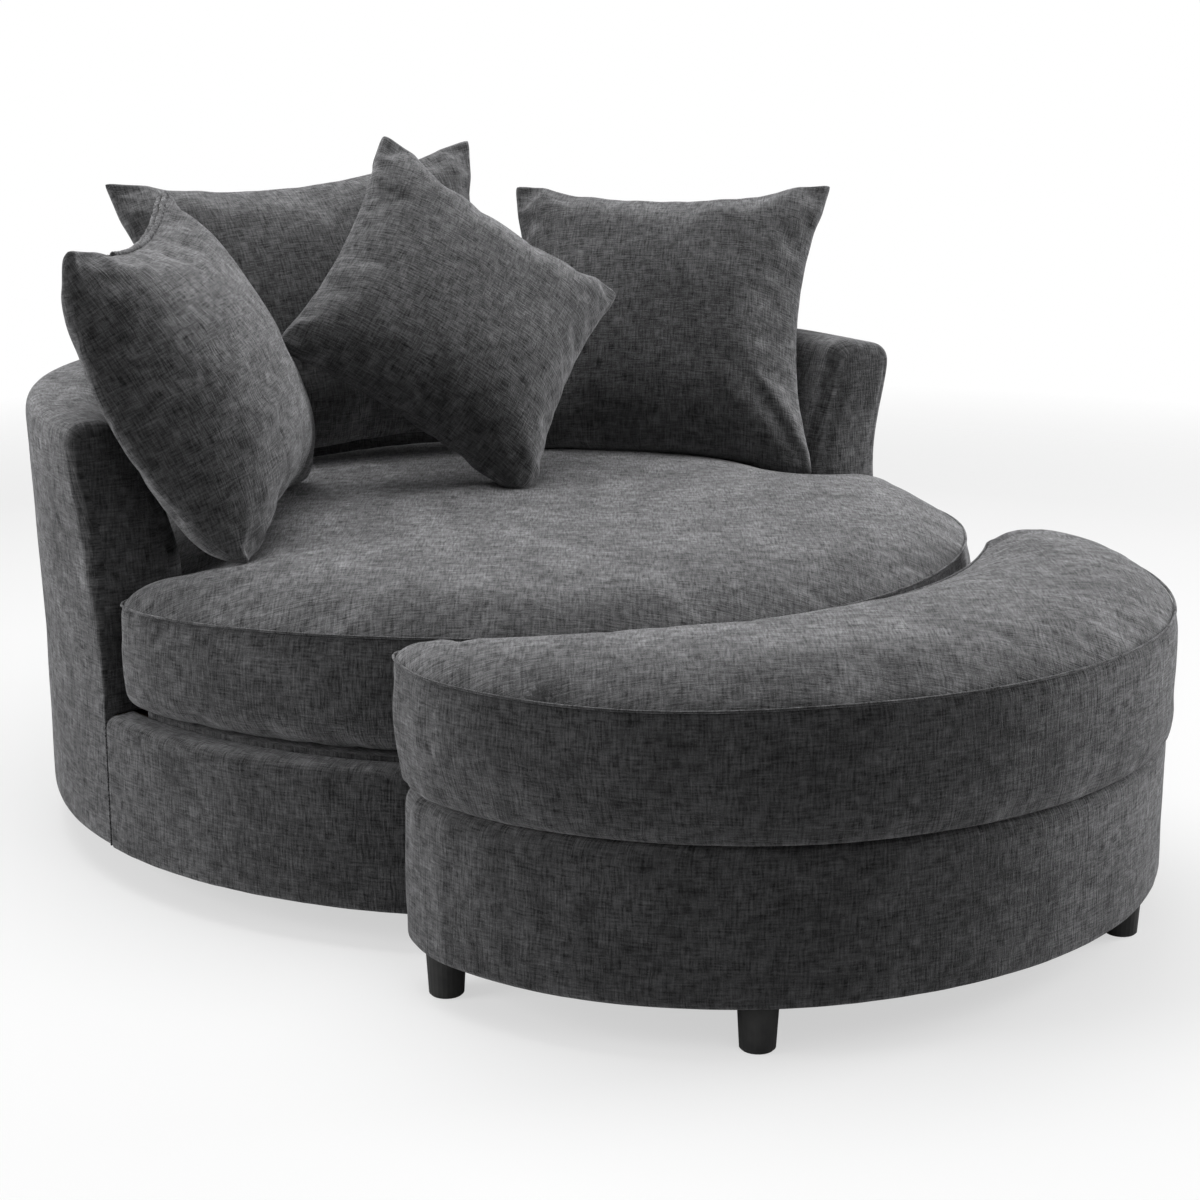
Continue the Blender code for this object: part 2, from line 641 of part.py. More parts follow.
def pillow_mesh(name, grow=0.0):
    """A knife-edged pillow: full in the middle, edges drawn in between its corners."""
    width, height, depth = (share * DRUM_RADIUS for share in PILLOW_SIZE_SHARES[name])
    across, back, up = PILLOW_PLACE_SHARES[name]
    turn, lean, roll = (math.radians(angle) for angle in PILLOW_AIM_DEG[name])
    seat = CUSHION_SEAM_HEIGHT + CUSHION_CROWN
    middle = Vector((across * DRUM_RADIUS, back * DRUM_RADIUS, seat + up * height))
    level = Matrix.Rotation(turn, 3, "Z") @ Matrix.Rotation(-lean, 3, "X") @ Matrix.Rotation(-roll, 3, "Y")
    down = level.inverted() @ Vector((0, 0, -1))
    stops = [math.sin(math.pi * (index / PILLOW_CELLS - 0.5)) for index in range(PILLOW_CELLS + 1)]
    bm = bmesh.new()
    grids = {-1: {}, 1: {}}
    for i, u in enumerate(stops):
        for j, v in enumerate(stops):
            x = (width / 2 + grow) * u * (1 - EDGE_PULL_SHARE * (1 - v * v))
            z = (height / 2 + grow) * v * (1 - EDGE_PULL_SHARE * (1 - u * u))
            full = max((1 - u * u) * (1 - v * v), 0.0) ** BELLY_SHARE
            sag = 1 + SAG_SHARE * (u * down.x + v * down.z)
            rim = i in (0, PILLOW_CELLS) or j in (0, PILLOW_CELLS)
            for face in (-1, 1):
                y = face * (depth / 2 + grow) * full * sag
                if rim and face == 1:
                    grids[face][i, j] = grids[-1][i, j]
                    continue
                y = 0.0 if rim else y
                grids[face][i, j] = bm.verts.new(middle + level @ Vector((x, y, z)))
    for face in (-1, 1):
        grid = grids[face]
        for i in range(PILLOW_CELLS):
            for j in range(PILLOW_CELLS):
                bm.faces.new((grid[i, j], grid[i + 1, j], grid[i + 1, j + 1], grid[i, j + 1]))
    bmesh.ops.triangulate(bm, faces=bm.faces[:], quad_method="FIXED")
    return bm


def make_pillows(pivot, seat_clearance):
    """The four loose pillows, each pressed flat where it rests on what is there before it."""
    wall = beside(arm_outline(FRONT_TOP), -SOFT_GAP, closed=True)
    start = ARM_TURN_DEG - math.degrees(SOFT_GAP / PAD_INNER_RADIUS)
    bm = turned_wall(wall, start, 360.0 - 2 * start, WALL_STEPS)
    rests = [seat_clearance, guide(bm, "wall_clearance")]
    for name in PILLOW_ORDER:
        pillow = keep(pillow_mesh(name), name, "charcoal_cloth", pivot, 70.0)
        for cutter in rests:
            cut(pillow, cutter)
        rests.append(guide(pillow_mesh(name, SOFT_GAP), name + "_clearance"))


def corner_places(side):
    """The four corners of a square about the swivel axis."""
    half = side / 2 - PLATE_BOLT_INSET
    return [(x * half, y * half) for x in (1, -1) for y in (1, -1)]


def plate(bottom):
    """A square steel plate with eased corners."""
    half = PLATE_SIDE / 2
    corners = rounded([(half, half), (-half, half), (-half, -half), (half, -half)], (PLATE_CORNER,) * 4)
    loops = [[Vector((p.x, p.y, height)) for p in corners] for height in (bottom, bottom + PLATE_THICKNESS)]
    return swept(loops, closed=False)


def drill(piece, places, radius, bottom, top, name):
    """Cuts the same round hole at several places."""
    holes = merged([rod(radius, bottom, top, place, SCREW_SIDES) for place in places])
    cut(piece, guide(holes, name, piece.parent))


def make_swivel(root, chair, beams):
    """The low base on its glides, and the swivel's two plates with their balls and screws."""
    keep(rod(PLINTH_RADIUS - FLOOR_PAD_INSET, 0, FLOOR_PAD_THICKNESS), "floor_pad", "glide", root)
    plinth = keep(rod(PLINTH_RADIUS, PLINTH_BOTTOM, PLINTH_BOTTOM + PLINTH_THICKNESS),
                  "plinth", "wood", root)
    places = corner_places(PLATE_SIDE)
    lower = keep(plate(LOWER_PLATE_BOTTOM), "swivel_lower_plate", "steel", root)
    upper = keep(plate(UPPER_PLATE_BOTTOM), "swivel_upper_plate", "steel", chair)
    bore_bottom, bore_top = LOWER_PLATE_BOTTOM - CUT_OVERRUN, UPPER_PLATE_TOP + CUT_OVERRUN
    bore = guide(rod(PLATE_BORE, bore_bottom, bore_top, sides=RING_STEPS), "plate_bore")
    cut(lower, bore)
    cut(upper, bore)
    inner = BALL_CIRCLE - BALL_RADIUS - SOFT_GAP
    outer = BALL_CIRCLE + BALL_RADIUS + SOFT_GAP
    for name, start in (("inner_ball_rim", inner - RIM_THICKNESS), ("outer_ball_rim", outer)):
        rim = box_points(start, start + RIM_THICKNESS, LOWER_PLATE_TOP - PLATE_THICKNESS / 2,
                         LOWER_PLATE_TOP + RIM_HEIGHT)
        fuse(lower, guide(turned_wall(rim, 0.0, 360.0, RING_STEPS), name))

    cage = box_points(BALL_CIRCLE - CAGE_WIDTH / 2, BALL_CIRCLE + CAGE_WIDTH / 2,
                      BALL_HEIGHT - CAGE_THICKNESS / 2, BALL_HEIGHT + CAGE_THICKNESS / 2)
    cage = keep(turned_wall(cage, 0.0, 360.0, RING_STEPS), "swivel_ball_ring", "steel", root)
    for index in range(BALL_COUNT):
        ball = bmesh.new()
        spot = turned(BALL_CIRCLE, 2 * math.pi * index / BALL_COUNT, BALL_HEIGHT)
        bmesh.ops.create_uvsphere(ball, u_segments=BALL_SIDES, v_segments=BALL_RINGS, radius=BALL_RADIUS,
                                  matrix=Matrix.Translation(spot))
        fuse(cage, guide(ball, "ball_%d" % (index + 1)))

    hole = SCREW_RADIUS + FIT_GAP
    for number, place in enumerate(places, 1):
        screw = headed(place, LOWER_PLATE_TOP + FIT_GAP, SCREW_LENGTH, 1)
        keep(screw, "lower_plate_screw_%d" % number, "steel", root)
        bolt = headed(place, UPPER_PLATE_BOTTOM - FIT_GAP, BOLT_LENGTH, -1)
        keep(bolt, "upper_plate_screw_%d" % number, "steel", chair)
    low = LOWER_PLATE_TOP - SCREW_LENGTH - SOFT_GAP
    drill(lower, places, hole, low, LOWER_PLATE_TOP + CUT_OVERRUN, "lower_plate_holes")
    drill(plinth, places, hole, low, PLINTH_BOTTOM + PLINTH_THICKNESS + CUT_OVERRUN, "plinth_holes")
    high = UPPER_PLATE_BOTTOM + BOLT_LENGTH + SOFT_GAP
    drill(upper, places, hole, UPPER_PLATE_BOTTOM - CUT_OVERRUN, high, "upper_plate_holes")
    for beam in beams:
        drill(beam, places, hole, BEAM_BOTTOM - CUT_OVERRUN, high, beam.name + "_holes")


def headed(place, seat, length, side):
    """A screw whose head rests on a seat: side is 1 with the head on top, -1 below."""
    profile = [(0, -length), (SCREW_RADIUS * SCREW_TIP_SHARE, -length),
               (SCREW_RADIUS, -length + SCREW_RADIUS), (SCREW_RADIUS, 0),
               (SCREW_HEAD_RADIUS, 0), (SCREW_HEAD_RADIUS, SCREW_HEAD_HEIGHT * SCREW_RIM_SHARE),
               (SCREW_HEAD_RADIUS * SCREW_CROWN_SHARE, SCREW_HEAD_HEIGHT), (0, SCREW_HEAD_HEIGHT)]
    bm = bmesh.new()
    path = [bm.verts.new((r, 0, seat + side * h)) for r, h in profile]
    edges = [bm.edges.new(pair) for pair in zip(path, path[1:])]
    bmesh.ops.spin(bm, geom=path + edges, cent=(0, 0, 0), axis=(0, 0, 1), steps=SCREW_SIDES,
                   angle=2 * math.pi, use_merge=True)
    bmesh.ops.remove_doubles(bm, verts=bm.verts[:], dist=FIT_GAP / 10)
    bmesh.ops.translate(bm, verts=bm.verts[:], vec=(*place, 0))
    return bm


class Crescent:
    """The ottoman's outline from above, moved inwards by an inset.

    Outside it is half an ellipse and inside an arc about the swivel axis, with blunt round horns.
    """

    def __init__(self, inset):
        self.half_width = OTTOMAN_HALF_WIDTH - inset
        self.depth = OTTOMAN_DEPTH - inset
        self.inner = OTTOMAN_INNER_RADIUS + inset
        self.last_turn = OTTOMAN_END_TURN - inset / self.inner
        ease = HORN_ROUND - inset * HORN_ROUND_INSET_SHARE
        self.horn_turn = self.last_turn - ease / self.inner

    def ellipse(self, turn):
        """The outer edge's distance from the swivel axis."""
        side = (math.sin(turn) / self.half_width) ** 2
        ahead = (math.cos(turn) / self.depth) ** 2
        back = OTTOMAN_SETBACK * math.cos(turn) / self.depth ** 2
        rest = (OTTOMAN_SETBACK / self.depth) ** 2 - 1
        return (back + math.sqrt(back ** 2 - (side + ahead) * rest)) / (side + ahead)

    def reach(self, turn, side):
        """The outline's distance from the swivel axis: side is 1 outside and -1 inside."""
        turn = abs(turn)
        outer = self.ellipse(turn)
        along = max(turn - self.horn_turn, 0) / (self.last_turn - self.horn_turn)
        half = (outer - self.inner) / 2 * math.sqrt(max(1 - along ** 2, 0))
        return (outer + self.inner) / 2 + side * half

    def turns(self):
        """Turns along the crescent, closer together towards its tips."""
        count = CRESCENT_STATIONS
        return [self.last_turn * math.sin(math.pi * (k / count - 0.5)) for k in range(count + 1)]

    def loop(self, height):
        """The outline's points, along the outside and back along the inside."""
        turns = self.turns()
        outside = [turned(self.reach(turn, 1), turn, height) for turn in turns]
        inside = [turned(self.reach(turn, -1), turn, height) for turn in turns[-2:0:-1]]
        return outside + inside


def slab(inset, bottom, top):
    """A flat crescent board or cloth."""
    shape = Crescent(inset)
    return swept([shape.loop(bottom), shape.loop(top)], closed=False)


def ring_points(profile):
    """Loops that run round the crescent, one for each inset and height of a profile."""
    return [Crescent(inset).loop(height) for inset, height in profile]


def stretch(profile, indices, trim=0.0):
    """A board that follows part of the crescent's edge, shortened at both ends by a trim."""
    loops = ring_points(profile)
    sections = [[loop[index % len(loop)] for loop in loops] for index in indices]
    for end, beyond in ((0, 1), (-1, -2)):
        sections[end] = [a.lerp(b, trim / (b - a).length) for a, b in zip(sections[end], sections[beyond])]
    return swept(sections, closed=False)


def make_ottoman(pivot):
    """The crescent ottoman's box: floor, walls, cover, lining and legs."""
    floor = keep(slab(WALL_INSET, BOX_FLOOR_BOTTOM, BOX_FLOOR_TOP), "ottoman_floor", "wood", pivot)
    dust = keep(slab(WALL_INSET, DUST_CLOTH_BOTTOM, DUST_CLOTH_BOTTOM + CLOTH_THICKNESS),
                "ottoman_dust_cloth", "black_cloth", pivot)
    lining = slab(CAVITY_INSET, BOX_WALL_BOTTOM, BOX_WALL_BOTTOM + LINING_THICKNESS)
    keep(lining, "ottoman_lining", "black_cloth", pivot)

    wall = ((WALL_INSET, BOX_WALL_BOTTOM), (WALL_INSET, BOX_WALL_TOP),
            (WALL_INSET + BOX_WALL, BOX_WALL_TOP), (WALL_INSET + BOX_WALL, BOX_WALL_BOTTOM))
    count = CRESCENT_STATIONS
    shape = Crescent(WALL_INSET)
    past_horn = sum(1 for turn in shape.turns() if turn > shape.horn_turn)
    inner_first, inner_last = count + past_horn, 2 * count - past_horn
    inner = stretch(wall, range(inner_first, inner_last + 1), SOFT_GAP)
    keep(inner, "ottoman_inner_wall", "wood", pivot)
    around = range(inner_last - 2 * count, inner_first + 1)
    keep(stretch(wall, around), "ottoman_outer_wall", "wood", pivot)

    cover_back = BOX_INSET + BOX_COVER
    cover = ((BOX_INSET + BOX_ROUND, BOX_BOTTOM), (BOX_INSET, BOX_BOTTOM + BOX_ROUND),
             (BOX_INSET, BOX_TOP - BOX_ROUND), (BOX_INSET + BOX_ROUND, BOX_TOP),
             (CAVITY_INSET, BOX_TOP), (CAVITY_INSET, BOX_TOP - BOX_COVER),
             (cover_back, BOX_TOP - BOX_COVER), (cover_back, BOX_BOTTOM))
    keep(swept(ring_points(cover), closed=True), "ottoman_cover", "charcoal_cloth", pivot)

    spots = []
    for side in (-1, 1):
        turn = side * math.radians(FRONT_LEG_TURN_DEG)
        spots.append((turned(Crescent(LEG_INSET).reach(turn, 1), turn, 0), turn))
        turn = side * HORN_LEG_TURN
        spots.append((turned(HORN_LEG_DISTANCE, turn, 0), turn))
    spots.sort(key=lambda spot: spot[0].x)
    places = [(spot.x, spot.y) for spot, _ in spots]
    for number, place in enumerate(places, 1):
        profile = [(LEG_BOTTOM_RADIUS - LEG_EDGE, 0), (LEG_BOTTOM_RADIUS, LEG_EDGE),
                   (LEG_TOP_RADIUS, BOX_BOTTOM - LEG_EDGE), (LEG_TOP_RADIUS - LEG_EDGE, BOX_BOTTOM),
                   (LEG_STUD_RADIUS, BOX_BOTTOM), (LEG_STUD_RADIUS, BOX_BOTTOM + LEG_STUD_LENGTH)]
        loops = [[Vector((place[0] + r * math.cos(a), place[1] + r * math.sin(a), z))
                  for a in (2 * math.pi * k / LEG_SIDES for k in range(LEG_SIDES))] for r, z in profile]
        keep(swept(loops, closed=False), "ottoman_leg_%d" % number, "leg_black", pivot)
    stud_top = BOX_BOTTOM + LEG_STUD_LENGTH + FIT_GAP
    for piece in (floor, dust):
        drill(piece, places, LEG_STUD_RADIUS + FIT_GAP, BOX_BOTTOM - CUT_OVERRUN, stud_top,
              piece.name + "_holes")


def make_lid(pivot):
    """The lift-off lid: a crowned crescent cushion on a board, with cleats that centre it."""
    keep(slab(LID_BOARD_INSET, LID_BOTTOM, LID_BOARD_TOP), "lid_board", "wood", pivot)
    pocket = LID_BOARD_INSET - SOFT_GAP
    lip = LID_BOTTOM + LID_LIP
    seat = LID_BOARD_TOP + SOFT_GAP
    side = [(pocket, seat), (pocket, lip)]
    side += [(inset, height) for inset, height in
             pad_side(lip, LID_SEAM_HEIGHT, LID_BOTTOM_ROUND, CUSHION_TOP_ROUND, LID_SIDE_BULGE)
             if inset < pocket]
    loops = ring_points(side)
    bm = swept(loops, closed=False)
    bm.faces.ensure_lookup_table()
    bmesh.ops.delete(bm, geom=[bm.faces[-1]], context="FACES_ONLY")
    bm.verts.ensure_lookup_table()
    rim_points = loops[-1]
    rim = bm.verts[-len(rim_points):]
    count = CRESCENT_STATIONS
    rows = [[rim[0]]]
    for station in range(1, count):
        outside, inside = rim[station], rim[2 * count - station]
        row = [outside]
        places = [outside.co.lerp(inside.co, step / CRESCENT_ACROSS) for step in range(1, CRESCENT_ACROSS)]
        rise = crowned(edge_distance(places, rim_points), LID_CROWN_RUN)
        for place, up in zip(places, rise):
            row.append(bm.verts.new((place.x, place.y, LID_SEAM_HEIGHT + LID_CROWN * up)))
        rows.append(row + [inside])
    rows.append([rim[count]])
    for near, far in zip(rows, rows[1:]):
        for step in range(CRESCENT_ACROSS):
            corners = [near[min(step, len(near) - 1)], near[min(step + 1, len(near) - 1)],
                       far[min(step + 1, len(far) - 1)], far[min(step, len(far) - 1)]]
            bm.faces.new([c for k, c in enumerate(corners) if c not in corners[:k]])
    keep(bm, "lid_cushion", "charcoal_cloth", pivot, 60.0)

    top = LID_BOTTOM - FIT_GAP
    foot = top - CLEAT_HEIGHT
    cleat_top = math.radians(CLEAT_TURN_DEG)
    for name, side in (("outer_lid_cleat", 1), ("inner_lid_cleat", -1)):
        loops = []
        for step in range(CLEAT_STEPS + 1):
            turn = cleat_top * (2 * step / CLEAT_STEPS - 1)
            edge = Crescent(CAVITY_INSET + CLEAT_CLEARANCE).reach(turn, side)
            loops.append([turned(edge - side * across, turn, height) for across, height in
                          ((0, top), (0, foot), (CLEAT_WIDTH, foot), (CLEAT_WIDTH, top))])
        keep(swept(loops, closed=False), name, "wood", pivot)


def main():
    """Builds the chair and the ottoman."""
    clear_scene()
    pivots = {}
    for name in ("standing_parts", "swivel_axis", "ottoman_place", "ottoman_lid_lift"):
        pivots[name] = bpy.data.objects.new(name, None)
        bpy.context.collection.objects.link(pivots[name])
    root, chair, ottoman, lid = pivots.values()
    ottoman.location.x = OTTOMAN_SIDE_STEP
    lid.parent = ottoman
    make_wall(chair)
    beams = make_frame(chair)
    make_swivel(root, chair, beams)
    make_seat_cushion(chair)
    make_pillows(chair, make_seat_cushion(chair, SOFT_GAP))
    make_ottoman(ottoman)
    make_lid(lid)


FINISH = {name: finish(name, *values) for name, values in FINISHES.items()}
main()
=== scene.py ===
"""A round swivel lounge chair with four loose pillows and a crescent storage ottoman, in charcoal chenille.

Metres, +Z up. The origin is on the floor, on the chair's swivel axis, and the front is -Y.
Turns are measured about the swivel axis from the front, positive towards +X.
"""

import json
import math

import bmesh
import bpy
import numpy as np
from bpy.props import FloatProperty, FloatVectorProperty, PointerProperty
from mathutils import Matrix, Vector, noise
from mathutils.bvhtree import BVHTree


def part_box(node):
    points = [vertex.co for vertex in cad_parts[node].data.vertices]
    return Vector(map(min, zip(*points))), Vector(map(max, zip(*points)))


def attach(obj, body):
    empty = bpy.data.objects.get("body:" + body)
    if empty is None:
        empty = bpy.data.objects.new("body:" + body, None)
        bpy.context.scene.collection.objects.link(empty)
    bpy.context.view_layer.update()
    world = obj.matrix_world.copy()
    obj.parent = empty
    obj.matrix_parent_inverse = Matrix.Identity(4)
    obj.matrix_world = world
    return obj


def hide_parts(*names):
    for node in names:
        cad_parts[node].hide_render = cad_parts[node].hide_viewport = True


bl_info = {
    "name": "Round Swivel Chair",
    "version": (1, 0, 0),
    "blender": (4, 5, 0),
    "location": "3D View > Sidebar > Round Chair",
    "description": "Upholsters a round swivel lounge chair, its loose pillows and its crescent ottoman",
    "category": "Object",
}

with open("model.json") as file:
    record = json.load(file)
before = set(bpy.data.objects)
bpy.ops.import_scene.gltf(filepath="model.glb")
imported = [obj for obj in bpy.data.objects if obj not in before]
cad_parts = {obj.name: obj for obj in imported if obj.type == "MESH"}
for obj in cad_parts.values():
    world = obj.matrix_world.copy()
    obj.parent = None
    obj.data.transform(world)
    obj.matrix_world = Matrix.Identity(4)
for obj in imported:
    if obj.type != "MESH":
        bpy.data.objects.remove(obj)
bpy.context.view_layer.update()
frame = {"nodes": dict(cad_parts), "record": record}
BASE_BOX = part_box("front_cover")
WALL_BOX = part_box("wall_cover")
CUSHION_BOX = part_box("seat_cushion")
LID_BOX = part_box("lid_cushion")
OTTOMAN_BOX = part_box("ottoman_cover")
CLOTH_MAP = "cloth"
SEAM_MAP = "seam"
# How far the hems end above the solids' own
HEM_LIFT = 0.0025
# How much less the ottoman's half width is than its solids', and how much further left it stands
NARROWER, FURTHER_LEFT = 0.003, 0.002
# A place on the seam map that is far from any seam
FAR_FROM_SEAM = 9.0


# Shapes

def turned(radius, turn, height):
    """Points at a distance from the swivel axis, turned from the front towards +X."""
    radius, turn, height = np.broadcast_arrays(radius, turn, height)
    return np.stack([radius * np.sin(turn), -radius * np.cos(turn), height], -1)


def smooth(value):
    """An ease from 0 to 1."""
    value = np.clip(value, 0.0, 1.0)
    return value * value * (3 - 2 * value)


def rising(value, start, run):
    """An ease from 0 at a start to 1 a run beyond it."""
    return smooth((value - start) / run)


def fading(distance, run):
    """An ease from 1 at no distance to 0 at a run."""
    return smooth(1 - distance / run)


def bell(distance, width):
    """A soft bump that is 1 at no distance."""
    return np.exp(-(distance / width) ** 2)


def level_way(ways):
    """Directions made level and one long."""
    flat = ways * (1, 1, 0)
    return flat / np.maximum(np.linalg.norm(flat, axis=-1), 1e-9)[..., None]


def pairs(across, up):
    """Places on the cloth, from how far across and how far up each is."""
    return np.stack(np.broadcast_arrays(across, up), -1)


def at_height(places, height):
    """Flat places as points at a height."""
    return np.concatenate([places, np.full((len(places), 1), height)], 1)


def rounded_in(from_end, size):
    """How far a quarter round of a size draws in at each distance from its end."""
    drawn = size - np.sqrt(np.maximum(size ** 2 - (size - from_end) ** 2, 0))
    return np.where(from_end < size, drawn, 0)


def lengths(path):
    """The distance along a path to each of its points."""
    return np.concatenate([[0.0], np.cumsum(np.linalg.norm(np.diff(path, axis=0), axis=1))])


def closed_path(path):
    """A path that ends where it starts."""
    return np.concatenate([path, path[:1]])


def spread(path, count):
    """Even places along an open path, both of its ends among them."""
    along = lengths(path)
    places = np.linspace(0, along[-1], count)
    return np.stack([np.interp(places, along, path[:, axis]) for axis in range(path.shape[1])], -1)


# The share of a side that a corner's round may take, and the unevenness's shift for each seed
CORNER_SHARE = 0.49
SEED_STEPS = (3.7, 1.3, 5.1)


def eased(corners, rounds, steps=8):
    """A path whose corners are eased by the given rounds, and where each corner's middle is in it."""
    path, middles = [], []
    for index, (corner, size) in enumerate(zip(corners, rounds)):
        corner = np.array(corner, float)
        middles.append(len(path))
        if size <= 0:
            path.append(corner)
            continue
        before = np.array(corners[index - 1], float) - corner
        after = np.array(corners[(index + 1) % len(corners)], float) - corner
        near, far = np.linalg.norm(before), np.linalg.norm(after)
        angle = math.acos(np.clip(before @ after / (near * far), -1, 1))
        reach = size / math.tan(angle / 2)
        start = corner + before / near * min(reach, near * CORNER_SHARE)
        end = corner + after / far * min(reach, far * CORNER_SHARE)
        middles[-1] += steps // 2
        for share in np.linspace(0, 1, steps + 1):
            path.append((1 - share) ** 2 * start + 2 * share * (1 - share) * corner + share ** 2 * end)
    return np.array(path), middles


def inward(ring):
    """The direction into a closed outline at each of its points, for one that runs counterclockwise."""
    run = np.roll(ring, -1, axis=0) - np.roll(ring, 1, axis=0)
    side = np.stack([-run[:, 1], run[:, 0]], -1)
    return side / np.linalg.norm(side, axis=1)[:, None]


def edge_distance(places, ring):
    """The distance from each place to the nearest stretch of a closed outline."""
    flat = places[..., :2].reshape(-1, 2)
    runs = np.roll(ring, -1, axis=0) - ring
    offsets = flat[:, None, :] - ring[None, :, :]
    share = np.clip((offsets * runs).sum(2) / np.maximum((runs * runs).sum(1), 1e-12), 0, 1)
    gap = np.linalg.norm(offsets - share[:, :, None] * runs, axis=2)
    return gap.min(1).reshape(places.shape[:-1])


def uneven(points, size, seed):
    """A soft, repeatable unevenness from about -1 to 1 at each point, with swells of a size."""
    shift = Vector([seed * step for step in SEED_STEPS])
    flat = points.reshape(-1, 3) / size
    return np.array([noise.noise(Vector(place) + shift) for place in flat]).reshape(points.shape[:-1])


def swells(points, waves):
    """The sum of soft unevennesses, each with its depth, size and seed."""
    return sum(depth * uneven(points, size, seed) for depth, size, seed in waves)


def hem_gathers(points, above, depth, size, seed, rise):
    """Upright gathers in the cloth above a hem, which fade as they rise."""
    return depth * uneven(points * (1, 1, 0.12), size, seed) * fading(above, rise)


def patch(low, high, left, right):
    """The points between four edges: low and high run across, left and right run up."""
    u = np.linspace(0, 1, len(low))[None, :, None]
    v = np.linspace(0, 1, len(left))[:, None, None]
    across = (1 - v) * low[None] + v * high[None]
    up = (1 - u) * left[:, None] + u * right[:, None]
    corners = (1 - u) * (1 - v) * low[0] + u * (1 - v) * low[-1] + (1 - u) * v * high[0] + u * v * high[-1]
    return across + up - corners


def new_object(name, data):
    """An object in the scene."""
    made = bpy.data.objects.new(name, data)
    bpy.context.scene.collection.objects.link(made)
    return made


class Cut:
    """A piece of cloth being cut and sewn: its points, its faces, and where each lies on the flat cloth."""

    def __init__(self):
        self.points = np.zeros((0, 3))
        self.faces = []
        self.flats = []
        self.seams = []

    def add(self, points):
        """Adds points and returns their numbers in the same arrangement."""
        numbers = np.arange(len(self.points), len(self.points) + points[..., 0].size)
        self.points = np.concatenate([self.points, points.reshape(-1, 3)])
        return numbers.reshape(points.shape[:-1])

    def sew(self, numbers, flat, seam=None):
        """Adds the faces between rows of points, which lie at flat on the cloth."""
        if seam is None:
            seam = np.full(flat.shape, FAR_FROM_SEAM)
        for grid, kept in ((numbers, self.faces), (flat, self.flats), (seam, self.seams)):
            corners = (grid[:-1, :-1], grid[:-1, 1:], grid[1:, 1:], grid[1:, :-1])
            stack = np.stack(corners, 2)
            kept.append(stack.reshape(-1, *stack.shape[2:]))

    def sew_level(self, grid):
        """Adds the faces of a level panel, laid out as seen from above."""
        self.sew(grid, self.points[grid][..., :2])

    def sew_upright(self, grid):
        """Adds the faces of an upright panel, laid out by their distance from the axis and their height."""
        at = self.points[grid]
        self.sew(grid, pairs(np.linalg.norm(at[..., :2], axis=-1), at[..., 2]))

    def fill(self, low, high, left, right, shape=None):
        """Fills four edges with a grid of new points, which shape may move, and returns its numbers."""
        at = self.points
        points = patch(at[low], at[high], at[left], at[right])
        if shape is not None:
            points = shape(points)
        numbers = np.empty(points.shape[:2], int)
        numbers[0], numbers[-1], numbers[:, 0], numbers[:, -1] = low, high, left, right
        numbers[1:-1, 1:-1] = self.add(points[1:-1, 1:-1])
        return numbers

    def piece(self, name, smoothing=1):
        """Makes the object."""
        mesh = bpy.data.meshes.new(name)
        faces = np.concatenate(self.faces)
        mesh.from_pydata(self.points.tolist(), [], faces.tolist())
        for label, flats in ((CLOTH_MAP, self.flats), (SEAM_MAP, self.seams)):
            layer = mesh.uv_layers.new(name=label)
            layer.data.foreach_set("uv", np.concatenate(flats).astype(np.float32).ravel())
        made = new_object(name, mesh)
        bm = bmesh.new()
        bm.from_mesh(mesh)
        bmesh.ops.recalc_face_normals(bm, faces=bm.faces[:])
        if bm.calc_volume(signed=True) < 0:
            bmesh.ops.reverse_faces(bm, faces=bm.faces[:])
        bm.to_mesh(mesh)
        bm.free()
        mesh.shade_smooth()
        if smoothing:
            finer = made.modifiers.new("finer", "SUBSURF")
            finer.levels = finer.render_levels = smoothing
            finer.boundary_smooth = "PRESERVE_CORNERS"
        return made


def wrapped(grid):
    """A grid whose first column follows its last again."""
    return np.concatenate([grid, grid[:, :1]], axis=1)


def around(loops):
    """How far along its loop each point is, with one column more to close the loop."""
    closed = wrapped(loops)
    step = np.linalg.norm(np.diff(closed, axis=1), axis=2)
    return np.concatenate([np.zeros((len(loops), 1)), np.cumsum(step, axis=1)], axis=1)


def upwards(loops):
    """How far up the cloth each row of loops is."""
    step = np.linalg.norm(np.diff(loops, axis=0), axis=2).mean(1)
    return np.concatenate([[0.0], np.cumsum(step)])


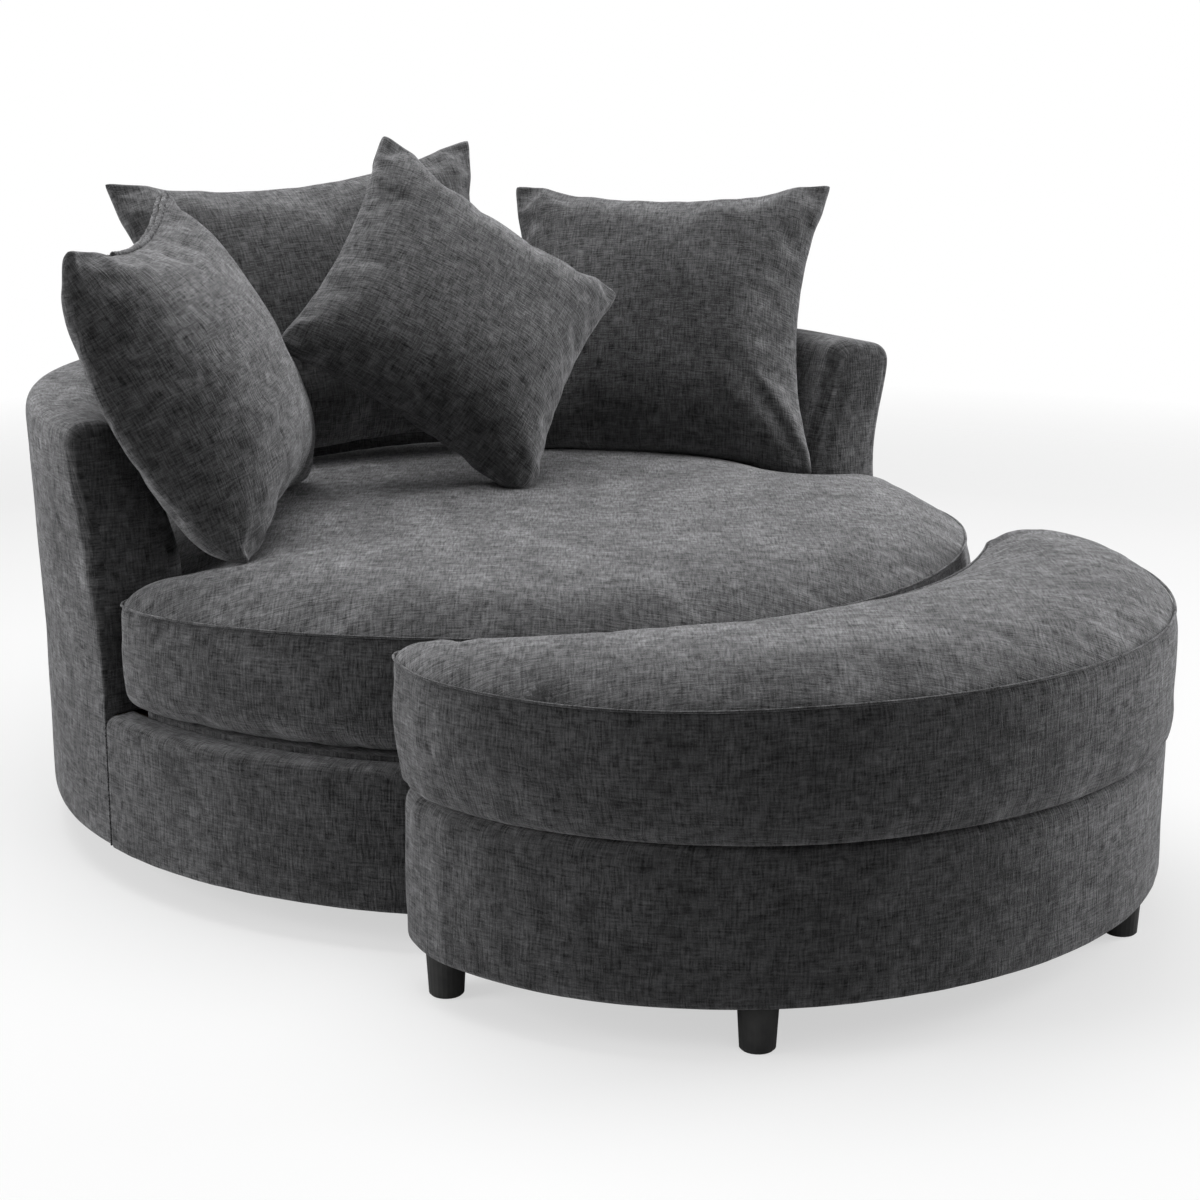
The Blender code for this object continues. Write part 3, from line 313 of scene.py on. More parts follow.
def welt(name, path, radius, sides=8, closed=True):
    """A thin cord of cloth along a seam."""
    path = np.asarray(path, float)
    run = np.roll(path, -1, axis=0) - np.roll(path, 1, axis=0)
    if not closed:
        run[0], run[-1] = path[1] - path[0], path[-1] - path[-2]
    run /= np.linalg.norm(run, axis=1)[:, None]
    side = np.cross(run, (0, 0, 1.0))
    side /= np.maximum(np.linalg.norm(side, axis=1), 1e-9)[:, None]
    up = np.cross(side, run)
    turn = np.linspace(0, 2 * math.pi, sides, endpoint=False)
    rings = (path[:, None] + radius * (side[:, None] * np.cos(turn)[None, :, None]
                                       + up[:, None] * np.sin(turn)[None, :, None]))
    cloth = Cut()
    numbers = wrapped(cloth.add(rings))
    along = lengths(closed_path(path))
    flat = pairs(along[:len(path), None], np.linspace(0, 2 * math.pi * radius, sides + 1)[None, :])
    if closed:
        numbers = closed_path(numbers)
        flat = np.concatenate([flat, pairs(along[-1], flat[0, :, 1])[None]])
    cloth.sew(numbers, flat)
    if not closed:
        for end in (0, -1):
            tip = cloth.add(path[end][None] + (run[end] * radius * (1 if end else -1))[None])
            fan = np.stack([numbers[end], np.broadcast_to(tip, numbers[end].shape)])
            cloth.sew(fan, np.stack([flat[end], flat[end]]))
    made = cloth.piece(name, 0)
    bm = bmesh.new()
    bm.from_mesh(made.data)
    bmesh.ops.dissolve_degenerate(bm, dist=1e-7, edges=bm.edges[:])
    bm.to_mesh(made.data)
    bm.free()
    return made


# The cloth's nature while its filling presses it out
FILLED_CLOTH = {
    "quality": 5, "mass": 0.3, "tension_stiffness": 12, "compression_stiffness": 12, "shear_stiffness": 6,
    "use_pressure": True, "pin_stiffness": 1.0, "air_damping": 3.0,
}


def puff(piece, held, pressure=4.0, growth=0.02, most=0.02, frames=20, softness=0.5):
    """Blows the cloth up a little, with its seams held, and keeps the result within a distance."""
    start = positions(piece)
    finer = [(m.name, m.show_viewport) for m in piece.modifiers]
    for change in piece.modifiers:
        change.show_viewport = False
    group = piece.vertex_groups.new(name="held")
    for weight in sorted(set(held.round(2).tolist()) - {0.0}):
        group.add([int(i) for i in np.flatnonzero(held.round(2) == weight)], weight, "REPLACE")
    cloth = piece.modifiers.new("puff", "CLOTH")
    own = {"bending_stiffness": softness, "uniform_pressure_force": pressure, "shrink_min": -growth,
           "vertex_group_mass": group.name}
    for name, value in {**FILLED_CLOTH, **own}.items():
        setattr(cloth.settings, name, value)
    cloth.settings.effector_weights.gravity = 0.0
    cloth.collision_settings.use_collision = False
    cloth.point_cache.frame_start = 1
    cloth.point_cache.frame_end = frames
    scene = bpy.context.scene
    for number in range(1, frames + 1):
        scene.frame_set(number)
    moved = settled(piece) - start
    piece.modifiers.remove(cloth)
    piece.vertex_groups.remove(group)
    scene.frame_set(1)
    for name, state in finer:
        piece.modifiers[name].show_viewport = state
    reach = np.linalg.norm(moved, axis=1)
    limit = most * np.tanh(reach / most) / np.maximum(reach, 1e-9)
    place(piece, start + moved * limit[:, None])


def mesh_points(mesh):
    """The places of a mesh's points as an array."""
    flat = np.zeros(len(mesh.vertices) * 3, np.float32)
    mesh.vertices.foreach_get("co", flat)
    return flat.reshape(-1, 3).astype(float)


def positions(piece):
    """The piece's own points as an array."""
    return mesh_points(piece.data)


def settled(piece):
    """Where the piece's own points are once its modifiers have worked on them."""
    shown = piece.evaluated_get(bpy.context.evaluated_depsgraph_get())
    points = mesh_points(shown.to_mesh())
    shown.to_mesh_clear()
    return points[:len(piece.data.vertices)]


def place(piece, points):
    """Moves the piece's own points."""
    piece.data.vertices.foreach_set("co", points.astype(np.float32).ravel())
    piece.data.update()


def tree_of(piece):
    """A search tree of the piece's faces where they are in the room."""
    matrix = np.array(piece.matrix_world)
    points = positions(piece) @ matrix[:3, :3].T + matrix[:3, 3]
    return BVHTree.FromPolygons(points.tolist(), [tuple(f.vertices) for f in piece.data.polygons])


def first_hit(trees, start, end):
    """Where a straight line from start to end first enters one of the shapes, or None."""
    run = end - start
    length = run.length
    if length < 1e-6:
        return None
    run /= length
    best = None
    for tree in trees:
        at, left = start, length
        while left > 0:
            spot, normal, _, gap = tree.ray_cast(at, run, left)
            if spot is None:
                break
            if normal.dot(run) < 0:
                found = (spot - start).length
                if best is None or found < best:
                    best = found
                break
            at, left = spot + run * 1e-5, left - gap - 1e-5
    return best


def reached(origin, goal, gap):
    """A point a little beyond the goal, as seen from the origin."""
    return goal + (goal - origin).normalized() * gap


# How often the pressed cloth is eased, how far at a time, and how near a shape it is checked again
EASING_PASSES = 4
EASING_SHARE = 0.5
CHECKED_WITHIN = 0.012


def yield_to(piece, trees, partners, gap):
    """Lays a pillow against what is there already: each point stays this side of it and eases the next.

    partners gives each point's opposite one, through the pillow's thickness.
    """
    matrix = np.array(piece.matrix_world)
    turn, shift = matrix[:3, :3], matrix[:3, 3]
    points = positions(piece) @ turn.T + shift
    middle = Vector(shift)
    start = points.copy()
    moved = np.zeros(len(points), bool)
    hidden = [first_hit(trees, middle, reached(middle, Vector(point), gap)) is not None for point in start]
    for index in np.flatnonzero(hidden):
        goal = Vector(start[index])
        opposite = partners[index]
        origin = middle if hidden[opposite] else Vector(start[opposite])
        hit = first_hit(trees, origin, reached(origin, goal, gap))
        if hit is None:
            origin, hit = middle, first_hit(trees, middle, reached(middle, goal, gap))
        points[index] = origin + (goal - origin).normalized() * max(hit - gap, 0.001)
        moved[index] = True
    edges = np.array([tuple(e.vertices) for e in piece.data.edges])
    share = np.zeros(len(points))
    np.maximum.at(share, edges[:, 0], moved[edges[:, 1]].astype(float))
    np.maximum.at(share, edges[:, 1], moved[edges[:, 0]].astype(float))
    share = (EASING_SHARE * np.maximum(share, moved))[:, None]
    for _ in range(EASING_PASSES):
        total, count = np.zeros_like(points), np.zeros(len(points))
        for a, b in ((0, 1), (1, 0)):
            np.add.at(total, edges[:, a], points[edges[:, b]])
            np.add.at(count, edges[:, a], 1)
        points = points * (1 - share) + total / count[:, None] * share
    for index in np.flatnonzero(share[:, 0]):
        for tree in trees:
            spot, normal, _, _ = tree.find_nearest(Vector(points[index]), CHECKED_WITHIN)
            if spot is not None and (Vector(points[index]) - spot).dot(normal) < gap:
                points[index] = spot + normal * gap
    place(piece, (points - shift) @ turn)


# Finishes

def set_inputs(tree, node, inputs):
    """Sets a node's inputs, or links them."""
    for name, value in inputs.items():
        if isinstance(value, bpy.types.NodeSocket):
            tree.links.new(value, node.inputs[name])
        else:
            node.inputs[name].default_value = value


def add_node(tree, kind, inputs=None, **settings):
    """A shader node with its settings, and its inputs set or linked."""
    made = tree.nodes.new("ShaderNode" + kind)
    for name, value in settings.items():
        setattr(made, name, value)
    set_inputs(tree, made, inputs or {})
    return made


def maths(tree, operation, *values, clamp=False):
    """The result of a sum on numbers or sockets."""
    made = add_node(tree, "Math", dict(enumerate(values)), operation=operation, use_clamp=clamp)
    return made.outputs[0]


def ramp(tree, value, gain, start):
    """A value times a gain plus a start, kept from 0 to 1."""
    return maths(tree, "MULTIPLY_ADD", value, gain, start, clamp=True)


def contrast(tree, value, strength, middle, clamp=False):
    """A value from 0 to 1 with another contrast, about a new middle."""
    return maths(tree, "MULTIPLY_ADD", maths(tree, "SUBTRACT", value, 0.5), strength, middle, clamp=clamp)


def weighed(tree, *parts):
    """The sum of values, each times its weight."""
    (value, weight), *rest = parts
    total = maths(tree, "MULTIPLY", value, weight)
    for value, weight in rest:
        total = maths(tree, "MULTIPLY_ADD", value, weight, total)
    return total


def stretched(tree, vector, scale):
    """Coordinates scaled by a number for each axis."""
    return add_node(tree, "VectorMath", {0: vector, 1: scale}, operation="MULTIPLY").outputs[0]


def scaled(tree, vector, factor):
    """Coordinates or a colour times one factor."""
    return add_node(tree, "VectorMath", {0: vector, "Scale": factor}, operation="SCALE").outputs[0]


def clouds(tree, vector, scale=1.0, detail=2.0, rough=0.5, distortion=0.0):
    """A soft noise from 0 to 1."""
    made = add_node(tree, "TexNoise", {"Vector": vector, "Scale": scale, "Detail": detail,
                                       "Roughness": rough, "Distortion": distortion})
    return made.outputs["Fac"]


def blend_colour(tree, share, first, second, kind="MIX"):
    """One colour mixed with another."""
    made = add_node(tree, "Mix", {0: share, 6: first, 7: second}, data_type="RGBA", blend_type=kind)
    return made.outputs[2]


def mixed_shaders(tree, share, first, second):
    """One shader mixed with another."""
    return add_node(tree, "MixShader", {0: share, 1: first, 2: second}).outputs[0]


def effect(name, inputs, outputs):
    """A new node group with named sockets, and its two ends."""
    tree = bpy.data.node_groups.new(name, "ShaderNodeTree")
    kinds = {"vector": "NodeSocketVector", "value": "NodeSocketFloat", "colour": "NodeSocketColor"}
    for label, kind, start in inputs:
        socket = tree.interface.new_socket(label, in_out="INPUT", socket_type=kinds[kind])
        if start is not None:
            socket.default_value = start
    for label, kind in outputs:
        tree.interface.new_socket(label, in_out="OUTPUT", socket_type=kinds[kind])
    return tree, tree.nodes.new("NodeGroupInput").outputs, tree.nodes.new("NodeGroupOutput").inputs


# The weave in yarns: how often they bend in a metre and how far, slubs across and along, flecks and tufts
YARN_BENDS, YARN_WANDER = 45.0, 1.6
ACROSS_YARN, ALONG_YARN = 0.70, 0.075
FLECKS_PER_YARN, TUFTS_PER_YARN = 0.95, 0.12
# How much the weft, the warp, the flecks and the tufts count, and how strongly all of them show
YARN_WEIGHTS = (0.26, 0.33, 0.15, 0.26)
SLUB_STRENGTH = 4.3
# Dark dashes along the weft, and how high the crossings of the yarns stand
DASH_STRETCH, DASH_DEPTH = (0.11, 0.5, 0.0), 0.4
RIB_SHARE = 0.25
# The nap's patches and wisps, and the patches and flecks that are brushed the other way, in a metre; the
# brushed ones set how much painted sheen each place gets
NAP_PATCHES, NAP_WISPS = 11.0, (26.0, 60.0, 1.0)
BRUSHED_PATCHES, BRUSHED_FLECKS, BRUSHED_DEPTH = 15.0, (72.0, 185.0, 1.0), 0.55


def woven_effect():
    """Slubby yarns that cross, with a nap that lies light and dark in soft patches."""
    tree, given, result = effect(
        "Slubby weave",
        [("Vector", "vector", None), ("Yarn Pitch", "value", 0.0018), ("Slub Contrast", "value", 1.0),
         ("Nap Contrast", "value", 0.3), ("Dark Yarn", "colour", (0.03, 0.03, 0.03, 1)),
         ("Light Yarn", "colour", (0.12, 0.12, 0.12, 1))],
        [("Color", "colour"), ("Roughness", "value"), ("Height", "value"), ("Brush", "value")])
    flat = given["Vector"]
    yarns = scaled(tree, flat, maths(tree, "DIVIDE", 1.0, given["Yarn Pitch"]))
    wander = add_node(tree, "TexNoise", {"Vector": flat, "Scale": YARN_BENDS, "Detail": 1.0})
    wander = stretched(tree, wander.outputs["Color"], (YARN_WANDER, YARN_WANDER, 0.0))
    yarns = add_node(tree, "VectorMath", {0: yarns, 1: wander}, operation="ADD").outputs[0]
    warp = clouds(tree, stretched(tree, yarns, (ACROSS_YARN, ALONG_YARN, 0.0)), 1.0, 2.0, 0.55)
    weft = clouds(tree, stretched(tree, yarns, (ALONG_YARN, ACROSS_YARN, 0.0)), 1.0, 2.0, 0.55)
    fleck = clouds(tree, stretched(tree, yarns, (FLECKS_PER_YARN, FLECKS_PER_YARN, 0.0)), 1.0, 2.0, 0.6)
    tufts = clouds(tree, stretched(tree, yarns, (TUFTS_PER_YARN, TUFTS_PER_YARN, 0.0)), 1.0, 4.0, 0.6)
    mixed = weighed(tree, *zip((weft, warp, fleck, tufts), YARN_WEIGHTS))
    strength = maths(tree, "MULTIPLY", given["Slub Contrast"], SLUB_STRENGTH)
    mixed = contrast(tree, mixed, strength, 0.48, clamp=True)
    dashes = ramp(tree, clouds(tree, stretched(tree, yarns, DASH_STRETCH), 1.0, 2.0, 0.6, 0.8), 7.0, -3.9)
    mixed = maths(tree, "MULTIPLY", mixed, maths(tree, "MULTIPLY_ADD", dashes, -DASH_DEPTH, 1.0))
    colour = blend_colour(tree, mixed, given["Dark Yarn"], given["Light Yarn"])
    nap = clouds(tree, flat, NAP_PATCHES, 4.0, 0.6, 0.6)
    wisps = clouds(tree, stretched(tree, flat, NAP_WISPS), 1.0, 3.0, 0.6, 0.4)
    nap = contrast(tree, weighed(tree, (wisps, 0.4), (nap, 0.6)), given["Nap Contrast"], 1.0)
    nap = add_node(tree, "CombineXYZ", {0: nap, 1: nap, 2: nap}).outputs[0]
    tree.links.new(blend_colour(tree, 1.0, colour, nap, "MULTIPLY"), result["Color"])
    tree.links.new(maths(tree, "MULTIPLY_ADD", mixed, -0.16, 0.97), result["Roughness"])
    split = add_node(tree, "SeparateXYZ", {0: yarns}).outputs
    ribs = [maths(tree, "SINE", maths(tree, "MULTIPLY", split[axis], math.pi)) for axis in (0, 1)]
    ribs = maths(tree, "ABSOLUTE", maths(tree, "MULTIPLY", *ribs))
    tree.links.new(maths(tree, "MULTIPLY_ADD", ribs, RIB_SHARE, mixed), result["Height"])
    # The brushed patches and flecks, which scale the painted sheen in the chenille's colour
    patches = clouds(tree, flat, BRUSHED_PATCHES, 3.0, 0.6, 0.4)
    flecks = ramp(tree, clouds(tree, stretched(tree, flat, BRUSHED_FLECKS), 1.0, 3.0, 0.65, 0.9), 7.0, -3.6)
    flecks = maths(tree, "MULTIPLY", flecks, ramp(tree, patches, 5.0, -1.9))
    flecks = maths(tree, "MULTIPLY_ADD", flecks, -BRUSHED_DEPTH, 1.0)
    laid = maths(tree, "MULTIPLY_ADD", patches, -0.9, 1.5)
    tree.links.new(maths(tree, "MULTIPLY", laid, flecks), result["Brush"])
    return tree


# Gathers at a seam: their length along the cloth and how fast they fade
GATHER_LENGTH = 9.0
GATHER_FADE = 1.6


def pucker_effect():
    """Fine gathers that run away from a seam and fade, where the seam map says that they are near one."""
    tree, given, result = effect(
        "Seam puckers",
        [("Vector", "vector", None), ("Spacing", "value", 0.006), ("Reach", "value", 0.03)],
        [("Height", "value"), ("Mask", "value")])
    split = add_node(tree, "SeparateXYZ", {0: given["Vector"]}).outputs
    away = maths(tree, "MULTIPLY", split[1], GATHER_LENGTH)
    along = maths(tree, "DIVIDE", split[0], given["Spacing"])
    along = add_node(tree, "CombineXYZ", {0: along, 1: away}).outputs[0]
    folds = clouds(tree, along, 1.0, 1.0, 0.4)
    fade = maths(tree, "SUBTRACT", 1.0, maths(tree, "DIVIDE", split[1], given["Reach"]), clamp=True)
    fade = maths(tree, "POWER", fade, GATHER_FADE)
    tree.links.new(maths(tree, "MULTIPLY", maths(tree, "SUBTRACT", folds, 0.5), fade), result["Height"])
    tree.links.new(fade, result["Mask"])
    return tree


# Wood grain in a metre: streaks and pores, across twice and along the height
GRAIN_STREAKS, GRAIN_PORES = (6.0, 6.0, 90.0), (40.0, 40.0, 700.0)


def grain_effect():
    """Wood grain: long streaks with finer pores between them."""
    tree, given, result = effect(
        "Wood grain",
        [("Vector", "vector", None), ("Light Wood", "colour", (0.6, 0.43, 0.26, 1)),
         ("Dark Wood", "colour", (0.36, 0.22, 0.11, 1))],
        [("Color", "colour"), ("Roughness", "value"), ("Height", "value")])
    bands = clouds(tree, stretched(tree, given["Vector"], GRAIN_STREAKS), 1.0, 4.0, 0.6, 1.2)
    pores = clouds(tree, stretched(tree, given["Vector"], GRAIN_PORES), 1.0, 2.0, 0.6)
    mixed = weighed(tree, (pores, 0.25), (bands, 0.75))
    share = contrast(tree, mixed, 3.0, 0.5, clamp=True)
    tree.links.new(blend_colour(tree, share, given["Dark Wood"], given["Light Wood"]), result["Color"])
    tree.links.new(maths(tree, "MULTIPLY_ADD", pores, 0.25, 0.5), result["Roughness"])
    tree.links.new(mixed, result["Height"])
    return tree


# Wear in a metre: patches of dust, specks, and scuffs along each axis
DUST_PATCHES, DUST_SPECKS = 34.0, 620.0
SCUFF_STRETCH = (900.0, 60.0, 320.0)


def wear_effect():
    """Dust and fine scuffs on a hard surface."""
    tree, given, result = effect(
        "Dust and scuffs",
        [("Vector", "vector", None), ("Color", "colour", (0.5, 0.5, 0.5, 1)),
         ("Dust Color", "colour", (0.45, 0.43, 0.40, 1)), ("Dust", "value", 0.15),
         ("Roughness", "value", 0.4)],
        [("Color", "colour"), ("Roughness", "value"), ("Height", "value")])
    patches = clouds(tree, given["Vector"], DUST_PATCHES, 5.0, 0.65)
    specks = clouds(tree, given["Vector"], DUST_SPECKS, 2.0, 0.5)
    dust = maths(tree, "MULTIPLY", ramp(tree, patches, 2.4, -0.7), given["Dust"])
    tree.links.new(blend_colour(tree, dust, given["Color"], given["Dust Color"]), result["Color"])
    scuffs = clouds(tree, stretched(tree, given["Vector"], SCUFF_STRETCH), 1.0, 2.0, 0.5)
    rough = maths(tree, "MULTIPLY_ADD", patches, 0.22, given["Roughness"])
    tree.links.new(maths(tree, "MULTIPLY_ADD", scuffs, 0.10, rough), result["Roughness"])
    tree.links.new(maths(tree, "MULTIPLY_ADD", specks, 0.5, scuffs), result["Height"])
    return tree


EFFECTS = {"weave": woven_effect, "puckers": pucker_effect, "grain": grain_effect, "wear": wear_effect}
BUILT = {}


def shared(name):
    """The shared effect of that name, built once."""
    if name not in BUILT:
        BUILT[name] = EFFECTS[name]()
    return BUILT[name]


def use(tree, name, inputs):
    """Places a shared effect in a material with its own values."""
    made = add_node(tree, "Group", node_tree=shared(name))
    set_inputs(tree, made, inputs)
    return made.outputs


def new_finish(name):
    """An empty material and its main shader."""
    material = bpy.data.materials.new(name)
    material.use_nodes = True
    tree = material.node_tree
    return material, tree, tree.nodes["Principled BSDF"]


def relief(tree, shader, height, depth, below=None):
    """Turns a height into the shader's normal, on top of another relief."""
    inputs = {"Height": height, "Distance": depth}
    if below is not None:
        inputs["Normal"] = below
    bump = add_node(tree, "Bump", inputs)
    tree.links.new(bump.outputs[0], shader.inputs["Normal"])
    return bump.outputs[0]


def colour_in(tree, shader, given, colour=None):
    """Gives the shader an effect's roughness and its colour, or another one."""
    set_inputs(tree, shader, {"Base Color": colour or given["Color"], "Roughness": given["Roughness"]})


def on_object(tree):
    """Coordinates on the object itself."""
    return add_node(tree, "TexCoord").outputs["Object"]


# The chenille's gathers at a seam: their spacing and reach, and the depth of gathers and yarns
GATHERS = {"Spacing": 0.0065, "Reach": 0.035}
GATHER_DEPTH, YARN_DEPTH = 0.004, 0.0016
# Its soft sheen, and how sharply the sheen painted into its colour rises where the cloth is seen edge-on
CHENILLE_SHEEN = {"Sheen Weight": 0.25, "Sheen Roughness": 0.38, "Sheen Tint": (0.72, 0.72, 0.74, 1),
                  "Specular IOR Level": 0.12}
PAINTED_SHEEN_POWER = 1.2


def chenille():
    """The chair's charcoal chenille: slubby yarns, a short nap and a soft sheen at the edges, partly the
    shader's own sheen and partly a painted sheen that lightens the colour where the cloth is seen edge-on.
    """
    cloth = bpy.context.scene.round_chair.cloth
    material, tree, shader = new_finish("charcoal_chenille")
    flat = add_node(tree, "UVMap", uv_map=CLOTH_MAP).outputs[0]
    yarn = use(tree, "weave", {"Vector": flat, "Yarn Pitch": cloth.yarn_pitch,
                               "Slub Contrast": cloth.slub_contrast, "Nap Contrast": cloth.nap_contrast,
                               "Dark Yarn": (*cloth.dark_yarn, 1), "Light Yarn": (*cloth.light_yarn, 1)})
    seam = add_node(tree, "UVMap", uv_map=SEAM_MAP).outputs[0]
    gathers = use(tree, "puckers", {"Vector": seam, **GATHERS})
    # Painted sheen: the colour is made lighter where the cloth is seen edge-on, and more where the brushed
    # nap lies that way
    painted_sheen = add_node(tree, "LayerWeight", {"Blend": 0.5}).outputs["Facing"]
    painted_sheen = maths(tree, "MULTIPLY", maths(tree, "POWER", painted_sheen, PAINTED_SHEEN_POWER), yarn["Brush"])
    gain = maths(tree, "MULTIPLY_ADD", painted_sheen, cloth.painted_sheen_gain, 1.0)
    colour_in(tree, shader, yarn, scaled(tree, yarn["Color"], gain))
    folds = relief(tree, shader, gathers["Height"], GATHER_DEPTH)
    relief(tree, shader, yarn["Height"], YARN_DEPTH, folds)
    set_inputs(tree, shader, CHENILLE_SHEEN)
    return material


def plain_weave(name, pitch, slubs, nap, dark, light, depth):
    """A plain woven cloth that isn't laid out flat."""
    material, tree, shader = new_finish(name)
    yarn = use(tree, "weave", {"Vector": on_object(tree), "Yarn Pitch": pitch, "Slub Contrast": slubs,
                               "Nap Contrast": nap, "Dark Yarn": (*dark, 1), "Light Yarn": (*light, 1)})
    colour_in(tree, shader, yarn)
    relief(tree, shader, yarn["Height"], depth)
    return material, shader


def lining_cloth():
    """Thin black cloth, pressed from short fibres."""
    material, shader = plain_weave("black_lining_cloth", pitch=0.0012, slubs=0.6, nap=0.15,
                                   dark=(0.008, 0.008, 0.008), light=(0.030, 0.030, 0.031), depth=0.0004)
    shader.inputs["Specular IOR Level"].default_value = 0.2
    return material


def webbing_cloth():
    """Upholstery webbing, with coarse yarns."""
    material, _ = plain_weave("seat_webbing_yarn", pitch=0.0028, slubs=1.2, nap=0.2,
                              dark=(0.07, 0.06, 0.05), light=(0.32, 0.29, 0.24), depth=0.0009)
    return material


def hard(name, colour, dust, roughness, metallic=0.0, depth=0.00008):
    """A painted, plastic or metal finish with dust and scuffs."""
    material, tree, shader = new_finish(name)
    worn = use(tree, "wear", {"Vector": on_object(tree), "Color": (*colour, 1), "Dust": dust,
                              "Roughness": roughness})
    colour_in(tree, shader, worn)
    relief(tree, shader, worn["Height"], depth)
    shader.inputs["Metallic"].default_value = metallic
    return material


def timber():
    """Plain pale wood with a little dust."""
    material, tree, shader = new_finish("pale_timber")
    where = on_object(tree)
    grain = use(tree, "grain", {"Vector": where})
    worn = use(tree, "wear", {"Vector": where, "Color": grain["Color"], "Dust": 0.12, "Roughness": 0.42})
    colour_in(tree, shader, worn)
    relief(tree, shader, grain["Height"], 0.0003)
    return material


FINISHES = {
    "charcoal_cloth": chenille,
    "black_cloth": lining_cloth,
    "webbing": webbing_cloth,
    "wood": timber,
    "card": lambda: hard("grey_board", (0.30, 0.24, 0.17), 0.2, 0.75, depth=0.0002),
    "steel": lambda: hard("zinc_plated_steel", (0.55, 0.55, 0.57), 0.10, 0.26, metallic=1.0),
    "leg_black": lambda: hard("satin_black_paint", (0.016, 0.0165, 0.017), 0.05, 0.30, depth=0.00004),
    "glide": lambda: hard("black_felt_pad", (0.03, 0.03, 0.03), 0.2, 0.8, depth=0.0003),
}


def finish(slot):
    """The finish of a material slot, made once."""
    if slot not in BUILT:
        BUILT[slot] = FINISHES[slot]()
    return BUILT[slot]


def dress(piece, body, slot, *nodes, fill=None):
    """Gives a piece its finish, its body and the solids that it stands for."""
    piece.data.materials.append(finish(slot))
    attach(piece, body)
    if nodes:
        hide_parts(*nodes)
    return piece


# Sizes and colours that a user may change

class ClothFinish(bpy.types.PropertyGroup):
    """The chair's cloth."""

    dark_yarn: FloatVectorProperty(
        name="Dark yarn", description="Colour of the darkest yarns", subtype="COLOR",
        default=(0.009, 0.009, 0.0092), min=0, max=1)
    light_yarn: FloatVectorProperty(
        name="Light yarn", description="Colour of the lightest yarns", subtype="COLOR",
        default=(0.079, 0.079, 0.081), min=0, max=1)
    # Painted sheen: how much lighter the colour is painted where the cloth is seen edge-on
    painted_sheen_gain: FloatProperty(
        name="Side gain", description="How much lighter the pile looks from the side", default=4.1, min=0,
        max=6)
    yarn_pitch: FloatProperty(
        name="Yarn pitch", description="Distance from one yarn to the next", unit="LENGTH", default=0.0017,
        min=0.0005, max=0.01, precision=5)
    slub_contrast: FloatProperty(
        name="Slub contrast", description="How strongly the slubs show", default=1.0, min=0, max=3)
    nap_contrast: FloatProperty(
        name="Nap contrast", description="How strongly the nap lies light and dark", default=2.2, min=0,
        max=4)


class BarrelSizes(bpy.types.PropertyGroup):
    """The barrel's wall and base."""

    radius: FloatProperty(
        name="Radius", description="The drum's outer radius", unit="LENGTH", default=BASE_BOX[1].x)
    hem: FloatProperty(
        name="Hem", description="Height of the hem above the floor", unit="LENGTH",
        default=WALL_BOX[0].z + HEM_LIFT)
    base_top: FloatProperty(
        name="Base top", description="Height of the base's front edge", unit="LENGTH", default=BASE_BOX[1].z)
    wall_top: FloatProperty(
        name="Wall top", description="Height of the wall's top", unit="LENGTH", default=WALL_BOX[1].z)
    flare: FloatProperty(
        name="Flare", description="How far the wall leans out at its top", unit="LENGTH", default=0.014)
    top_width: FloatProperty(
        name="Top width", description="Width of the wall's top", unit="LENGTH", default=0.098)
    seat_width: FloatProperty(
        name="Width at seat", description="Width of the wall beside the seat", unit="LENGTH", default=0.125)
    arm_turn: FloatProperty(
        name="Arm turn", description="Turn from the front to the arms' front faces", subtype="ANGLE",
        default=math.radians(87))
    splay: FloatProperty(
        name="Arm splay", description="How far the arms' tops lean out at the front", unit="LENGTH",
        default=0.010)
    rake: FloatProperty(
        name="Arm rake", description="How far the arms' front faces lean back", unit="LENGTH", default=0.014)


class CushionSizes(bpy.types.PropertyGroup):
    """The seat cushion."""

    front: FloatProperty(
        name="Front radius", description="Radius of the round front", unit="LENGTH", default=0.626)
    bottom: FloatProperty(
        name="Bottom", description="Height of the underside", unit="LENGTH", default=CUSHION_BOX[0].z)
    seam: FloatProperty(
        name="Seam height", description="Height of the top seam", unit="LENGTH", default=0.381)
    crown: FloatProperty(
        name="Crown", description="Rise from the seam to the middle", unit="LENGTH", default=0.028)
    plump: FloatProperty(
        name="Plump edge", description="Quick rise of the top beside the seam", unit="LENGTH", default=0.016)
    corner: FloatProperty(
        name="Corner round", description="Round of the front corners", unit="LENGTH", default=0.070)
    edge: FloatProperty(
        name="Lower edge", description="Round of the lower edge", unit="LENGTH", default=0.036)


class PillowSizes(bpy.types.PropertyGroup):
    """The loose pillows."""

    fill: FloatProperty(
        name="Fill", description="How full the pillows are", subtype="FACTOR", default=0.65, min=0, max=1)
    plump: FloatProperty(
        name="Thickness", description="Share of the thickness that the pillows start with",
        subtype="FACTOR", default=0.90, min=0.5, max=1)
    pull: FloatProperty(
        name="Edge pull", description="How strongly the edges draw in between the corners",
        subtype="FACTOR", default=1.0, min=0, max=2)


